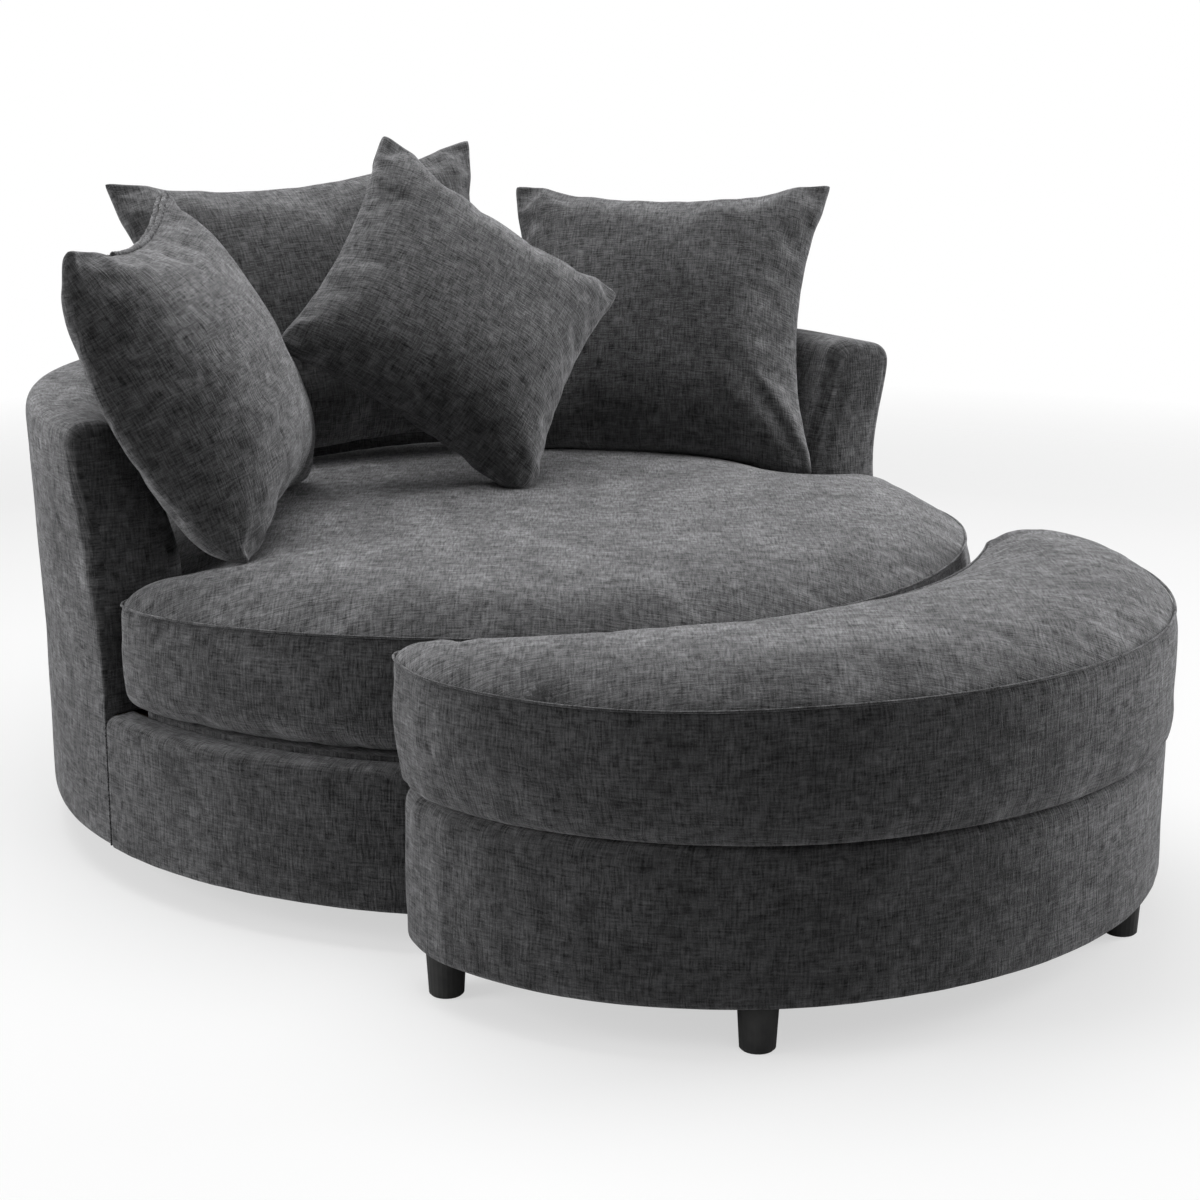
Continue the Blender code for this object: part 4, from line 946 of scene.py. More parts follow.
class OttomanSizes(bpy.types.PropertyGroup):
    """The crescent ottoman."""

    half_width: FloatProperty(
        name="Half width", description="Half of the width across", unit="LENGTH",
        default=(LID_BOX[1].x - LID_BOX[0].x) / 2 - NARROWER)
    depth: FloatProperty(
        name="Depth", description="Reach of the front from the outline's middle", unit="LENGTH",
        default=0.455)
    setback: FloatProperty(
        name="Middle", description="Distance of the outline's middle from the swivel axis", unit="LENGTH",
        default=0.560)
    inner: FloatProperty(
        name="Inner radius", description="Radius of the hollow side", unit="LENGTH", default=0.670)
    step: FloatProperty(
        name="Side step", description="How far it stands to the side", unit="LENGTH",
        default=(LID_BOX[1].x + LID_BOX[0].x) / 2 - FURTHER_LEFT)
    hem: FloatProperty(
        name="Hem", description="Height of the box's hem", unit="LENGTH", default=OTTOMAN_BOX[0].z + HEM_LIFT)
    box_top: FloatProperty(
        name="Box top", description="Height of the box", unit="LENGTH", default=OTTOMAN_BOX[1].z)
    seam: FloatProperty(
        name="Seam height", description="Height of the lid's top seam", unit="LENGTH", default=0.392)
    crown: FloatProperty(name="Crown", description="Rise of the lid's top", unit="LENGTH", default=0.020)


class RoundChair(bpy.types.PropertyGroup):
    """All of the chair's settings."""

    cloth: PointerProperty(type=ClothFinish)
    barrel: PointerProperty(type=BarrelSizes)
    cushion: PointerProperty(type=CushionSizes)
    pillows: PointerProperty(type=PillowSizes)
    ottoman: PointerProperty(type=OttomanSizes)


# The barrel

# Thickness of the shell under the covers, and the round of their hems
SHELL = 0.0115
HEM_ROUND = 0.007
# Heights where the wall's outer and inner sides bend, and the rounds of its section
OUTER_BEND, INNER_BEND = 0.270, 0.405
SIDE_ROUND, OUTER_TOP_ROUND, INNER_TOP_ROUND = 0.10, 0.026, 0.034
# Rows of points up each side, across the top and up the hem
SIDE_ROWS, TOP_ROWS, HEM_ROWS = 34, 12, 15
# Rounds at the cut ends: hem, outer side, top, inner side, underside, and the leg behind the shell
END_ROUNDS = (0.0012, 0.020, 0.018, 0.022, 0.002, 0.0)
HEM, OUTER, TOP, INNER, UNDER, LEG = range(6)
# The least round, how far above the base the others start, and how far above the hem the leg ends
LEAST_END_ROUND, END_ROUND_RUN, LEG_FOOT = 0.0010, 0.06, 0.004
# The outer side's round low down, what it gains further up and what it loses near the top
SIDE_END_ROUND, SIDE_ROUND_GAIN, SIDE_ROUND_LOSS = 0.006, 0.014, 0.006
# The height where each change starts, and over how far it rises
GAIN_RISE, LOSS_RISE = (0.32, 0.10), (0.46, 0.10)
CREASE_RISE, RAKE_RISE, SPLAY_RISE = (0.36, 0.1), (0.30, 0.20), (0.42, 0.15)
RIGHT_LEAN_RISE, DROOP_RISE = (0.36, 0.14), (0.46, 0.12)
# Where the crease ends below the wall's top, and the places across the top that droop
CREASE_HEAD, CREASE_FADE = 0.02, 0.03
OUTER_DROOP_FROM, OUTER_DROOP_RUN = 0.070, 0.075
INNER_DROOP_FROM, INNER_DROOP_RUN = 0.030, 0.05
# Sections from each cut end, where the even ones start, and how many of those there are
END_STATIONS = (0.0, 0.0005, 0.0015, 0.004, 0.0075, 0.0115, 0.0145, 0.0175, 0.021, 0.026, 0.034, 0.046)
EVEN_FROM, EVEN_STATIONS = 0.062, 106
# The crease beside the arm panels: its distance from the end, width and depth
CREASE_PLACE, CREASE_WIDTH, CREASE_DEPTH = 0.0075, 0.0024, 0.0018
# How far from the ends the rake and the splay reach
RAKE_REACH, SPLAY_REACH = 0.15, 0.16
# The right arm's further lean, and the droop of the left arm's inner and the right arm's outer top
RIGHT_LEAN, RIGHT_LEAN_REACH = 0.013, 0.12
LEFT_DROOP, LEFT_DROOP_REACH = 0.016, 0.085
RIGHT_DROOP, RIGHT_DROOP_REACH = 0.014, 0.14
# How far from the ends the swells reach their depth
WALL_END_FADE, BASE_END_FADE = 0.05, 0.02
# Depth, size and seed of the swells, then of the hem's gathers with their height
WALL_SWELLS = ((0.0016, 0.19, 1), (0.0008, 0.06, 2))
WALL_HEM_GATHERS = (0.0012, 0.013, 3, 0.09)
BASE_SWELLS = ((0.0015, 0.17, 7), (0.0008, 0.05, 8))
BASE_HEM_GATHERS = (0.0013, 0.012, 9, 0.08)
# The arm panels' bulge, and the depth, size and seed of their unevenness
PANEL_BULGE = 0.0045
PANEL_SWELLS = ((0.0012, 0.07, 5),)


def arm_section(barrel):
    """The wall's section above the base, as paths up its outer side, across its top and down inside."""
    outer = barrel.radius
    lean = outer + barrel.flare
    inner = outer - barrel.seat_width
    corners = [(outer, barrel.base_top), (outer, OUTER_BEND), (lean, barrel.wall_top),
               (lean - barrel.top_width, barrel.wall_top), (inner, INNER_BEND), (inner, barrel.base_top)]
    path, middles = eased(corners, (0, SIDE_ROUND, OUTER_TOP_ROUND, INNER_TOP_ROUND, SIDE_ROUND, 0), 12)
    return path[:middles[2] + 1], path[middles[2]:middles[3] + 1], path[middles[3]:]


def rolled_edge(side, rim, low, high, skin, top_round, rows):
    """A cover's section: in at the hem, up its side, over its top to the rim, and back under that."""
    into = math.copysign(skin, rim - side)
    path, _ = eased([(side + into, low), (side, low), (side, high), (rim, high), (rim, high - skin),
                     (side + into, high - skin)], (0, HEM_ROUND, top_round, 0, 0, 0))
    return np.concatenate([spread(path[:-2], rows), path[-2:]])


class BarrelCover(bpy.types.Operator):
    """Sews the cover of the barrel's wall and arms"""

    bl_idname = "round_chair.barrel_cover"
    bl_label = "Barrel Cover"

    def execute(self, context):
        barrel = context.scene.round_chair.barrel
        runs = self.section(barrel)
        loop = np.concatenate(runs)
        counts = [len(run) for run in runs]
        length = (2 * math.pi - 2 * barrel.arm_turn) * barrel.radius
        near = np.array(END_STATIONS)
        middle = np.linspace(EVEN_FROM, length - EVEN_FROM, EVEN_STATIONS)
        stations = np.concatenate([near, middle, (length - near)[::-1]])
        cloth = Cut()
        numbers = cloth.add(self.shape(barrel, loop, np.repeat(np.arange(6), counts), stations, length))
        rise = lengths(closed_path(loop))
        cloth.sew(wrapped(numbers), pairs(stations[:, None], rise[None, :]))
        first = np.cumsum([0] + counts)
        for row, side in ((numbers[0], 1), (numbers[-1], -1)):
            self.close_end(cloth, barrel, row, first, side)
        cover = cloth.piece("barrel_cover")
        dress(cover, "chair", "charcoal_cloth", "wall_cover", "inner_wall_pad", "arm_front_left",
              "arm_front_right", fill=0.5)
        return {"FINISHED"}

    def section(self, barrel):
        """The whole section: hem, outer side, top, inner side, underside, and the leg behind the shell."""
        behind = barrel.radius - SHELL
        outer, top, inner = arm_section(barrel)
        hem, _ = eased([(behind, barrel.hem), (barrel.radius, barrel.hem), (barrel.radius, barrel.base_top)],
                       (0, HEM_ROUND, 0))
        under = np.linspace((barrel.radius - barrel.seat_width, barrel.base_top), (behind, barrel.base_top),
                            TOP_ROWS)
        leg = np.linspace((behind, barrel.base_top), (behind, barrel.hem + LEG_FOOT), HEM_ROWS)[1:-1]
        shown = ((hem, HEM_ROWS), (outer, SIDE_ROWS), (top, TOP_ROWS + 1), (inner, SIDE_ROWS))
        return [spread(path, count)[:-1] for path, count in shown] + [under, leg]

    def end_rounds(self, barrel, height, part):
        """How far each row of the section is rounded at the cut ends."""
        ease = np.array(END_ROUNDS)[part]
        side = (SIDE_END_ROUND + SIDE_ROUND_GAIN * rising(height, *GAIN_RISE)
                - SIDE_ROUND_LOSS * rising(height, *LOSS_RISE))
        ease = np.where(part == OUTER, side, ease)
        for _ in range(3):
            ease = np.where(part == LEG, 0, (np.roll(ease, 1) + 2 * ease + np.roll(ease, -1)) / 4)
        above = rising(height, barrel.base_top, END_ROUND_RUN)
        return LEAST_END_ROUND + (ease - LEAST_END_ROUND) * above * (part < LEG)

    def shape(self, barrel, loop, part, stations, length):
        """The cover's points, a section for each station, with the arms' lean, rake and droop."""
        from_end = np.minimum(stations, length - stations)[:, None]
        inset = rounded_in(from_end, self.end_rounds(barrel, loop[:, 1], part))
        height = loop[None, :, 1]
        crease = bell(from_end - CREASE_PLACE, CREASE_WIDTH) * rising(height, *CREASE_RISE)
        crease = crease * smooth((barrel.wall_top - CREASE_HEAD - height) / CREASE_FADE) * (part == OUTER)
        section = loop[None] + (inset + CREASE_DEPTH * crease)[..., None] * inward(loop)[None]
        rake = barrel.rake * rising(height, *RAKE_RISE) * np.exp(-from_end / RAKE_REACH)
        ends = np.sign(length / 2 - stations)[:, None]
        right, left = ends > 0, ends < 0
        turn = barrel.arm_turn + (stations[:, None] + rake * ends) / barrel.radius
        lean = barrel.splay * rising(height, *SPLAY_RISE) * bell(from_end, SPLAY_REACH)
        further = RIGHT_LEAN * rising(height, *RIGHT_LEAN_RISE) * bell(from_end, RIGHT_LEAN_REACH)
        lean += further * right * (part < INNER)
        upper = rising(height, *DROOP_RISE)
        outer_top = (section[..., 0] - barrel.radius + OUTER_DROOP_FROM) / OUTER_DROOP_RUN
        outer_top = np.clip(outer_top, 0, 1) * upper
        inner_top = (barrel.radius - INNER_DROOP_FROM - section[..., 0]) / INNER_DROOP_RUN
        inner_top = smooth(inner_top) * upper
        droop = LEFT_DROOP * left * inner_top * bell(from_end, LEFT_DROOP_REACH)
        droop = droop + RIGHT_DROOP * right * outer_top * bell(from_end, RIGHT_DROOP_REACH)
        points = turned(section[..., 0] + lean, turn, section[..., 1] - droop)
        soft = swells(points, WALL_SWELLS) + hem_gathers(points, height - barrel.hem, *WALL_HEM_GATHERS)
        soft = soft * (part <= INNER)[None, :] * smooth(from_end / WALL_END_FADE)
        return points + level_way(points) * soft[..., None]

    def close_end(self, cloth, barrel, row, first, side):
        """Fills a cut end with its padded arm panel, and with a strip below that."""
        left = row[first[OUTER]:first[TOP] + 1]
        high = row[first[TOP]:first[INNER] + 1]
        right = row[first[INNER]:first[UNDER] + 1][::-1]
        bottom = np.concatenate([row[first[UNDER]:first[LEG]], left[:1]])[::-1]

        def padded_face(points):
            x = np.linspace(-1, 1, points.shape[1])[None, :]
            y = np.linspace(-1, 1, points.shape[0])[:, None]
            bulge = PANEL_BULGE * (1 - x ** 4) * (1 - y ** 6) + swells(points, PANEL_SWELLS)
            ahead = np.array([-math.cos(barrel.arm_turn) * side, -math.sin(barrel.arm_turn), 0])
            return points + ahead * (bulge * (1 - x ** 8) * (1 - y ** 8))[..., None]

        cloth.sew_upright(cloth.fill(bottom, high, left, right, padded_face))
        behind = np.concatenate([row[:1], row[first[LEG]:][::-1], row[first[LEG] - 1:first[LEG]]])
        cloth.sew_upright(np.stack([row[first[HEM]:first[OUTER] + 1], behind]))


# The base's rolled top edge: its width and round, and the rows of points up the cover
ROLL, ROLL_ROUND, BASE_ROWS = 0.042, 0.016, 40
# The gap at the arms' seams and the round beside them
SEAM_GAP, SEAM_ROUND = 0.0003, 0.0012
# Sections from each seam, where the even ones start, and how many of those there are
SEAM_STATIONS = (0.0, 0.0005, 0.0015, 0.004, 0.009)
BASE_EVEN_FROM, BASE_EVEN_STATIONS = 0.016, 148
# Depth, size and seed of the pull beside the seams with its reach, and of the roll's soft top
SEAM_PULL, SEAM_PULL_REACH = (0.0016, 0.011, 10), 0.09
ROLL_SWELLS = ((0.0018, 0.035, 11),)
# The roll's soft top, from where below the top and over how far, and the strip of it that stays as it is
ROLL_SOFT_FROM, ROLL_SOFT_RUN, RIM_STRIP = 0.03, 0.02, 0.002
# The seams' welt: its radius, points, and how far above the hem and below the top it ends
BASE_WELT, WELT_POINTS, WELT_FOOT, WELT_HEAD = 0.0013, 60, 0.006, 0.014
# How far the welt stands out, and the depths and rates of its waves along the height
WELT_PROUD, WELT_WAVES = 0.0002, ((0.0006, 700), (0.0005, 1530))
# The platform cloth's gaps to the roll and the wall, and its heights above the deck's foot and below its top
PLATFORM_GAP, PLATFORM_MARGIN = 0.0012, 0.0015
PLATFORM_FEET, PLATFORM_HEAD = (0.0002, 0.002), 0.001


class BaseCover(bpy.types.Operator):
    """Sews the base's front cover and the cloth of the seat platform"""

    bl_idname = "round_chair.base_cover"
    bl_label = "Base Cover"

    def execute(self, context):
        chair = context.scene.round_chair
        barrel = chair.barrel
        out, top = barrel.radius, barrel.base_top
        profile = rolled_edge(out, out - ROLL, barrel.hem, top, SHELL, ROLL_ROUND, BASE_ROWS)
        seam = barrel.arm_turn - SEAM_GAP / out
        near = seam - np.array(SEAM_STATIONS) / out
        even = np.linspace(-seam + BASE_EVEN_FROM / out, seam - BASE_EVEN_FROM / out, BASE_EVEN_STATIONS)
        stations = np.concatenate([-near, even, near[::-1]])
        from_end = (seam - np.abs(stations))[:, None] * out
        tuck = rounded_in(from_end, SEAM_ROUND)
        points = turned(profile[None, :, 0] - tuck, stations[:, None], profile[None, :, 1])
        away = level_way(points)
        height = points[..., 2]
        swell = swells(points, BASE_SWELLS)
        gathers = hem_gathers(points, height - barrel.hem, *BASE_HEM_GATHERS)
        depth, size, seed = SEAM_PULL
        pull = depth * uneven(points * (1, 1, 0.2), size, seed) * fading(from_end, SEAM_PULL_REACH)
        swell = (swell + gathers + pull) * smooth(from_end / BASE_END_FADE)
        soft = swells(points, ROLL_SWELLS) * smooth((height - top + ROLL_SOFT_FROM) / ROLL_SOFT_RUN)
        before_rim = np.arange(len(profile)) < len(profile) - 3
        front = ((profile[:, 0] > out - ROLL + RIM_STRIP) & before_rim)[None, :]
        points += away * (swell * front)[..., None]
        points[..., 2] -= np.abs(soft) * front
        cloth = Cut()
        numbers = cloth.add(points)
        rise = lengths(closed_path(profile))
        cloth.sew(wrapped(numbers), pairs(stations[:, None] * out, rise[None, :]))
        half = len(profile) // 2
        for row in (numbers[0], numbers[-1]):
            cloth.sew_upright(np.stack([row[:half], row[len(row) - half:][::-1]]))
        dress(cloth.piece("base_front_cover"), "chair", "charcoal_cloth", "front_cover", fill=0.4)
        for name, turn in (("left", -barrel.arm_turn), ("right", barrel.arm_turn)):
            height = np.linspace(barrel.hem + WELT_FOOT, top - WELT_HEAD, WELT_POINTS)
            wave = sum(depth * np.sin(height * rate) for depth, rate in WELT_WAVES)
            path = turned(out + WELT_PROUD, turn + wave / out, height)
            dress(welt("base_seam_" + name, path, BASE_WELT, closed=False), "chair", "charcoal_cloth")
        self.platform(chair, out - ROLL - PLATFORM_GAP)
        return {"FINISHED"}

    def platform(self, chair, radius):
        """The cloth on the seat's deck, inside the base's rolled edge."""
        low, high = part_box("seat_deck")
        ring = seat_ring(chair, high.z, (radius, 0.0), PLATFORM_MARGIN)
        deck = Cut()
        heights = [low.z + foot for foot in PLATFORM_FEET] + [high.z - PLATFORM_HEAD]
        rows = np.stack([at_height(ring[:, :2], z) for z in heights])
        numbers = deck.add(rows)
        deck.sew(wrapped(numbers), pairs(around(rows), upwards(rows)[:, None]))
        for row in (numbers[0], numbers[-1]):
            deck.sew_level(quarters(deck, row))
        dress(deck.piece("seat_platform_cloth", 0), "chair", "charcoal_cloth", "seat_deck")


# The seat cushion

# Points on each quarter of the edge, along the round front and the back, and in each eased corner
QUARTER, ARC_POINTS, CORNER_STEPS = 72, 60, 14
# Turns at which the edge is split, in degrees, and the radius near which they are looked for
SPLIT_TURNS, SPLIT_RADIUS = (-52, 52, 128, 232), 0.6
# The cushion's gap to the wall, and how much more it keeps from the arms' faces
SEAT_MARGIN, ARM_MARGIN = 0.004, 0.002
# How far the front swells towards its corners, and how far its right side is drawn in
EAR_SWELL, RIGHT_EASE = 0.012, 0.011
# The turn that the front corners lie at, how far the seam dips there, and further at the right one
EAR_TURN, EAR_DIP, RIGHT_EAR_DIP = math.radians(86), 0.014, 0.007
# How far the cloth's underside is above the solid's, at first and at least
UNDERSIDE_GAP, LEAST_GAP = 0.0005, 0.0003
# The bulge of the side, and how far from the swivel axis the edge is free of the wall
SIDE_BULGE, FREE_BEYOND = 0.003, 0.57
# How far in from the seam the crown, its quick edge and the dip at the corners reach
CROWN_REACH, PLUMP_REACH, DIP_REACH = 0.42, 0.024, 0.12
# The least distance from the seam that the cushion's seam map holds
SEAM_START = 0.004
TOP_SWELLS = ((0.003, 0.22, 21),)
# The seams' welts: their radius, and how far out and up they sit
SEAM_WELT, WELT_OUT, WELT_UP = 0.0017, 0.0006, (0, 0, 0.0004)
# How the pile of the tops is turned on the cloth
PILE_TURN = np.array([[0.81, 0.59], [-0.59, 0.81]])


def seat_ring(chair, height, front=None, margin=SEAT_MARGIN):
    """The seat's edge from above: a round front with ears before the arms, in four quarters."""
    barrel, cushion = chair.barrel, chair.cushion
    radius, ear_swell = front or (cushion.front, EAR_SWELL)
    right_ease = 0.0 if front else RIGHT_EASE
    ear = barrel.arm_turn - (margin + ARM_MARGIN) / radius
    back = barrel.radius - barrel.seat_width - margin

    def front_radius(turn):
        swell = np.maximum(np.abs(turn) / ear - 0.5, 0) / 0.5
        return radius + ear_swell * swell * swell - right_ease * smooth(turn / 0.9)

    front_end = ear - 1.1 * cushion.corner / radius
    turns = np.linspace(-front_end, front_end, ARC_POINTS)
    back_turns = np.linspace(ear + 0.1, 2 * math.pi - ear - 0.1, ARC_POINTS)
    end = float(front_radius(ear))
    corners = [*turned(front_radius(turns), turns, 0)[:, :2], turned(end, ear, 0)[:2],
               turned(back, ear, 0)[:2], *turned(back, back_turns, 0)[:, :2], turned(back, -ear, 0)[:2],
               turned(end, -ear, 0)[:2]]
    rounds = [0] * ARC_POINTS + [cushion.corner, 0] + [0] * ARC_POINTS + [0, cushion.corner]
    path, _ = eased([tuple(c) for c in corners], rounds, CORNER_STEPS)
    marks = [turned(SPLIT_RADIUS, math.radians(degrees), 0)[:2] for degrees in SPLIT_TURNS]
    splits = [int(np.argmin(np.linalg.norm(path - mark, axis=1))) for mark in marks]
    path = np.roll(path, -splits[0], axis=0)
    splits = [(s - splits[0]) % len(path) for s in splits] + [len(path)]
    closed = closed_path(path)
    ring = np.concatenate([spread(closed[a:b + 1], QUARTER + 1)[:-1] for a, b in zip(splits, splits[1:])])
    return at_height(ring, height)


def quarters(cloth, row, shape=None):
    """Fills a closed row of points as a patch with four equal edges."""
    n = len(row) // 4
    closed = np.append(row, row[0])
    low, right = closed[:n + 1], closed[n:2 * n + 1]
    high, left = closed[2 * n:3 * n + 1][::-1], closed[3 * n:][::-1]
    return cloth.fill(low, high, left, right, shape)


def boxed_side(bottom, seam, edge, bulge):
    """Insets and heights up a boxed cushion's side, from its underside to its top seam."""
    turn = np.linspace(0, math.pi / 2, 7)
    foot = np.stack([edge * 1.5 * (1 - np.sin(turn)) ** 1.1, bottom + edge * (1 - np.cos(turn))], -1)
    share = np.linspace(0, 1, 12)[1:]
    rise = bottom + edge + (seam - bottom - edge) * share
    body = np.stack([-bulge * np.sin(math.pi * share) ** 0.8, rise], -1)
    return np.concatenate([foot, body])


def ear_nearness(points, reach):
    """How near each point is to the cushion's front corners, in turn, from 0 to 1."""
    turn = np.abs(np.arctan2(points[..., 0], -points[..., 1]))
    return bell(turn - EAR_TURN, reach)


def ear_dip(points):
    """How far the cushion's seam dips at its front corners, the right one a little more."""
    return (EAR_DIP + RIGHT_EAR_DIP * (points[..., 0] > 0)) * ear_nearness(points, 0.5)


def seam_cord(name, body, path, out):
    """The welt just outside a cushion's top seam."""
    cord = welt(name, path + out * WELT_OUT + WELT_UP, SEAM_WELT)
    dress(cord, body, "charcoal_cloth")


class SeatCushion(bpy.types.Operator):
    """Makes the round seat cushion and its seam"""

    bl_idname = "round_chair.seat_cushion"
    bl_label = "Seat Cushion"

    def execute(self, context):
        chair = context.scene.round_chair
        cushion = chair.cushion
        side = boxed_side(cushion.bottom + UNDERSIDE_GAP, cushion.seam, cushion.edge, SIDE_BULGE)
        ring = seat_ring(chair, 0)
        into = inward(ring[:, :2])
        free = np.linalg.norm(ring[:, :2], axis=1) > FREE_BEYOND
        loops = []
        for inset, height in side:
            shift = np.where(free, inset, max(inset, 0))
            loops.append(at_height(ring[:, :2] + into * shift[:, None], height))
        loops = np.array(loops)
        dip = ear_dip(ring)
        loops[..., 2] -= dip * (loops[..., 2] - cushion.bottom) / (cushion.seam - cushion.bottom)
        cloth = Cut()
        numbers = cloth.add(loops)
        along = around(loops)
        flat = pairs(along[len(side) // 2][None, :], upwards(loops)[:, None])
        near_ear = ear_nearness(ring, 0.10)
        from_seam = np.abs(cushion.seam - loops[..., 2])
        gather = np.where(near_ear > 0.2, 1.0, 3.0)[None, :] * from_seam + SEAM_START
        cloth.sew(wrapped(numbers), flat, pairs(along, wrapped(gather)))
        rim = ring[:, :2]

        def crowned(points):
            gap = edge_distance(points, rim)
            reach = np.clip(gap / CROWN_REACH, 0, 1)
            plump = cushion.plump * (1 + 0.3 * ear_nearness(points, 0.22)) * (1 - np.exp(-gap / PLUMP_REACH))
            seam_now = cushion.seam - ear_dip(points) * np.exp(-gap / DIP_REACH)
            points[..., 2] = seam_now + plump + cushion.crown * (1 - (1 - reach) ** 3)
            points[..., 2] += swells(points, TOP_SWELLS) * smooth(reach * 6)
            return points

        top = quarters(cloth, numbers[-1], crowned)
        face = cloth.points[top]
        gap = edge_distance(face, rim)
        near_ear = ear_nearness(face, 0.12)
        slide = np.arctan2(face[..., 0], -face[..., 1]) * 0.6
        seam = pairs(slide, gap * (1 + 4 * (1 - near_ear)) + SEAM_START)
        cloth.sew(top, face[..., :2] @ PILE_TURN, seam)
        bottom = quarters(cloth, numbers[0])
        cloth.sew_level(bottom)
        piece = cloth.piece("round_seat_cushion")
        held = np.zeros(len(cloth.points))
        held[np.concatenate([numbers[-1], bottom.ravel()])] = 1.0
        held[numbers[-2]] = 0.5
        puff(piece, held, pressure=4.0, growth=0.012, most=0.010, frames=16)
        points = positions(piece)
        points[:, 2] = np.maximum(points[:, 2], cushion.bottom + LEAST_GAP)
        place(piece, points)
        dress(piece, "chair", "charcoal_cloth", "seat_cushion", fill=0.8)
        seam_cord("seat_cushion_seam", "chair", positions(piece)[numbers[-1]], at_height(-into, 0.0))
        return {"FINISHED"}


# The pillows

# Cells along each side, how blunt the corners are, how quickly the filling rises, and how far it sags
PILLOW_CELLS, BLUNT, FULLNESS, SAG = 46, 0.007, 0.42, 0.14
# Depth, size and first seed of the swells on the pillows, and how fast they rise from the edges
PILLOW_SWELL, PILLOW_SWELL_SIZE, PILLOW_SEED, EDGE_RISE = 0.004, 0.10, 30, 12
# A bunched corner's gathers: where they meet, their reach, how many a full turn has, size and first seed
BUNCH_FOOT, BUNCH_REACH, BUNCH_TURNS, BUNCH_SIZE, BUNCH_SEED = 1.02, 0.32, 13, 0.030, 60
# The gap that pillows keep from what they rest on, and the least distance on their seam map
REST_GAP, PILLOW_SEAM_START = 0.0008, 0.008
# How far apart on the cloth a pillow's front and back lie
BACK_SHIFT = 1.7
# The zip: its points and teeth, half a tooth's width and depth, where it starts and how high it is
ZIP_POINTS, ZIP_TEETH = 90, 120
TOOTH_X, TOOTH_Y, TOOTH_LOW, TOOTH_RISE = 0.0006, 0.0013, 0.0008, 0.0016
# The depth and rate of the gathers in the zip's lips
LIP_WAVE, LIP_RATE = 0.0011, 1.9
# The zip's cords: how far to the side and how high each lies, and its radius
ZIP_CORDS = {
    "near": (-0.0048, 0.0012, 0.0034),
    "far": (0.0048, 0.0012, 0.0034),
    "tape": (0.0, -0.0004, 0.0018),
}
# Width, height and thickness; the middle's place; facing turn, lean back and roll in degrees
PILLOWS = {
    "pillow_centre": ((0.420, 0.420, 0.150), (-0.0275, 0.1056, 0.654), (1.5, 32.5, 47.5)),
    "pillow_left": ((0.450, 0.445, 0.190), (-0.4293, 0.0759, 0.6217), (46.5, 27.0, 4.7)),
    "pillow_right": ((0.504, 0.498, 0.180), (0.3980, 0.1880, 0.6005), (-44.5, 35.0, 1.0)),
    "pillow_back": ((0.578, 0.472, 0.180), (-0.0622, 0.3985, 0.6428), (-14.5, 26.0, 5.5)),
}
# How far each pillow's left, right, lower and upper edges draw in, as shares of half its width or height
DRAWN_IN = {
    "pillow_centre": (0.11, 0.11, 0.11, 0.11),
    "pillow_left": (0.02, 0.11, 0.11, 0.20),
    "pillow_right": (0.11, 0.16, 0.11, 0.13),
    "pillow_back": (0.13, 0.13, 0.11, 0.19),
}
# Soft folds: where each starts and ends on the face, from -1 to 1 across and up, its depth and its width
FOLDS = {
    "pillow_centre": (((0.95, -0.95), (0.40, -0.62), 0.004, 0.07),
                      ((0.80, -0.98), (0.55, -0.60), 0.003, 0.05),
                      ((-0.9, -0.9), (-0.55, -0.2), 0.003, 0.09)),
    "pillow_left": (((-0.85, -0.35), (0.35, -0.05), 0.0045, 0.08),
                    ((-0.75, -0.62), (0.45, -0.30), 0.004, 0.07),
                    ((-0.8, 0.02), (0.1, 0.28), 0.0035, 0.09),
                    ((-0.9, 0.35), (0.0, 0.50), 0.003, 0.08),
                    ((-0.95, -0.90), (-0.3, -0.72), 0.005, 0.06),
                    ((0.9, -0.9), (0.35, -0.55), 0.005, 0.07),
                    ((-0.8, 0.86), (0.6, 0.80), 0.003, 0.06)),
    "pillow_right": (((0.98, -0.98), (0.45, -0.30), 0.0060, 0.06),
                     ((0.7, -0.95), (0.3, -0.55), 0.003, 0.06)),
    "pillow_back": (((-0.93, 0.62), (-0.70, 0.25), 0.005, 0.06),),
}
# The corner that each pillow is bunched at, and how deeply
BUNCHES = {
    "pillow_centre": (-1, -1, 0.0045),
    "pillow_left": (-1, -1, 0.0055),
    "pillow_right": (1, -1, 0.0030),
}
# How much narrower a pillow is at its lower edge, as a share
TAPERS = {"pillow_right": 0.045}
# The corner that each pillow curls back at, and how far
CURLS = {"pillow_left": (1, -1, 0.024)}
# How far a pillow's left and lower edges wrap back round what it leans on
WRAPS = {"pillow_left": (0.052, 0.020)}


def laid_out(grid):
    """Where the points of a sheet of cloth lie when it is laid flat."""
    across = np.cumsum(np.linalg.norm(np.diff(grid, axis=1, prepend=grid[:, :1]), axis=2), axis=1)
    up = np.cumsum(np.linalg.norm(np.diff(grid, axis=0, prepend=grid[:1]), axis=2), axis=0)
    middle = len(grid) // 2
    return np.stack([across - across[:, middle:middle + 1], up - up[middle:middle + 1]], -1)


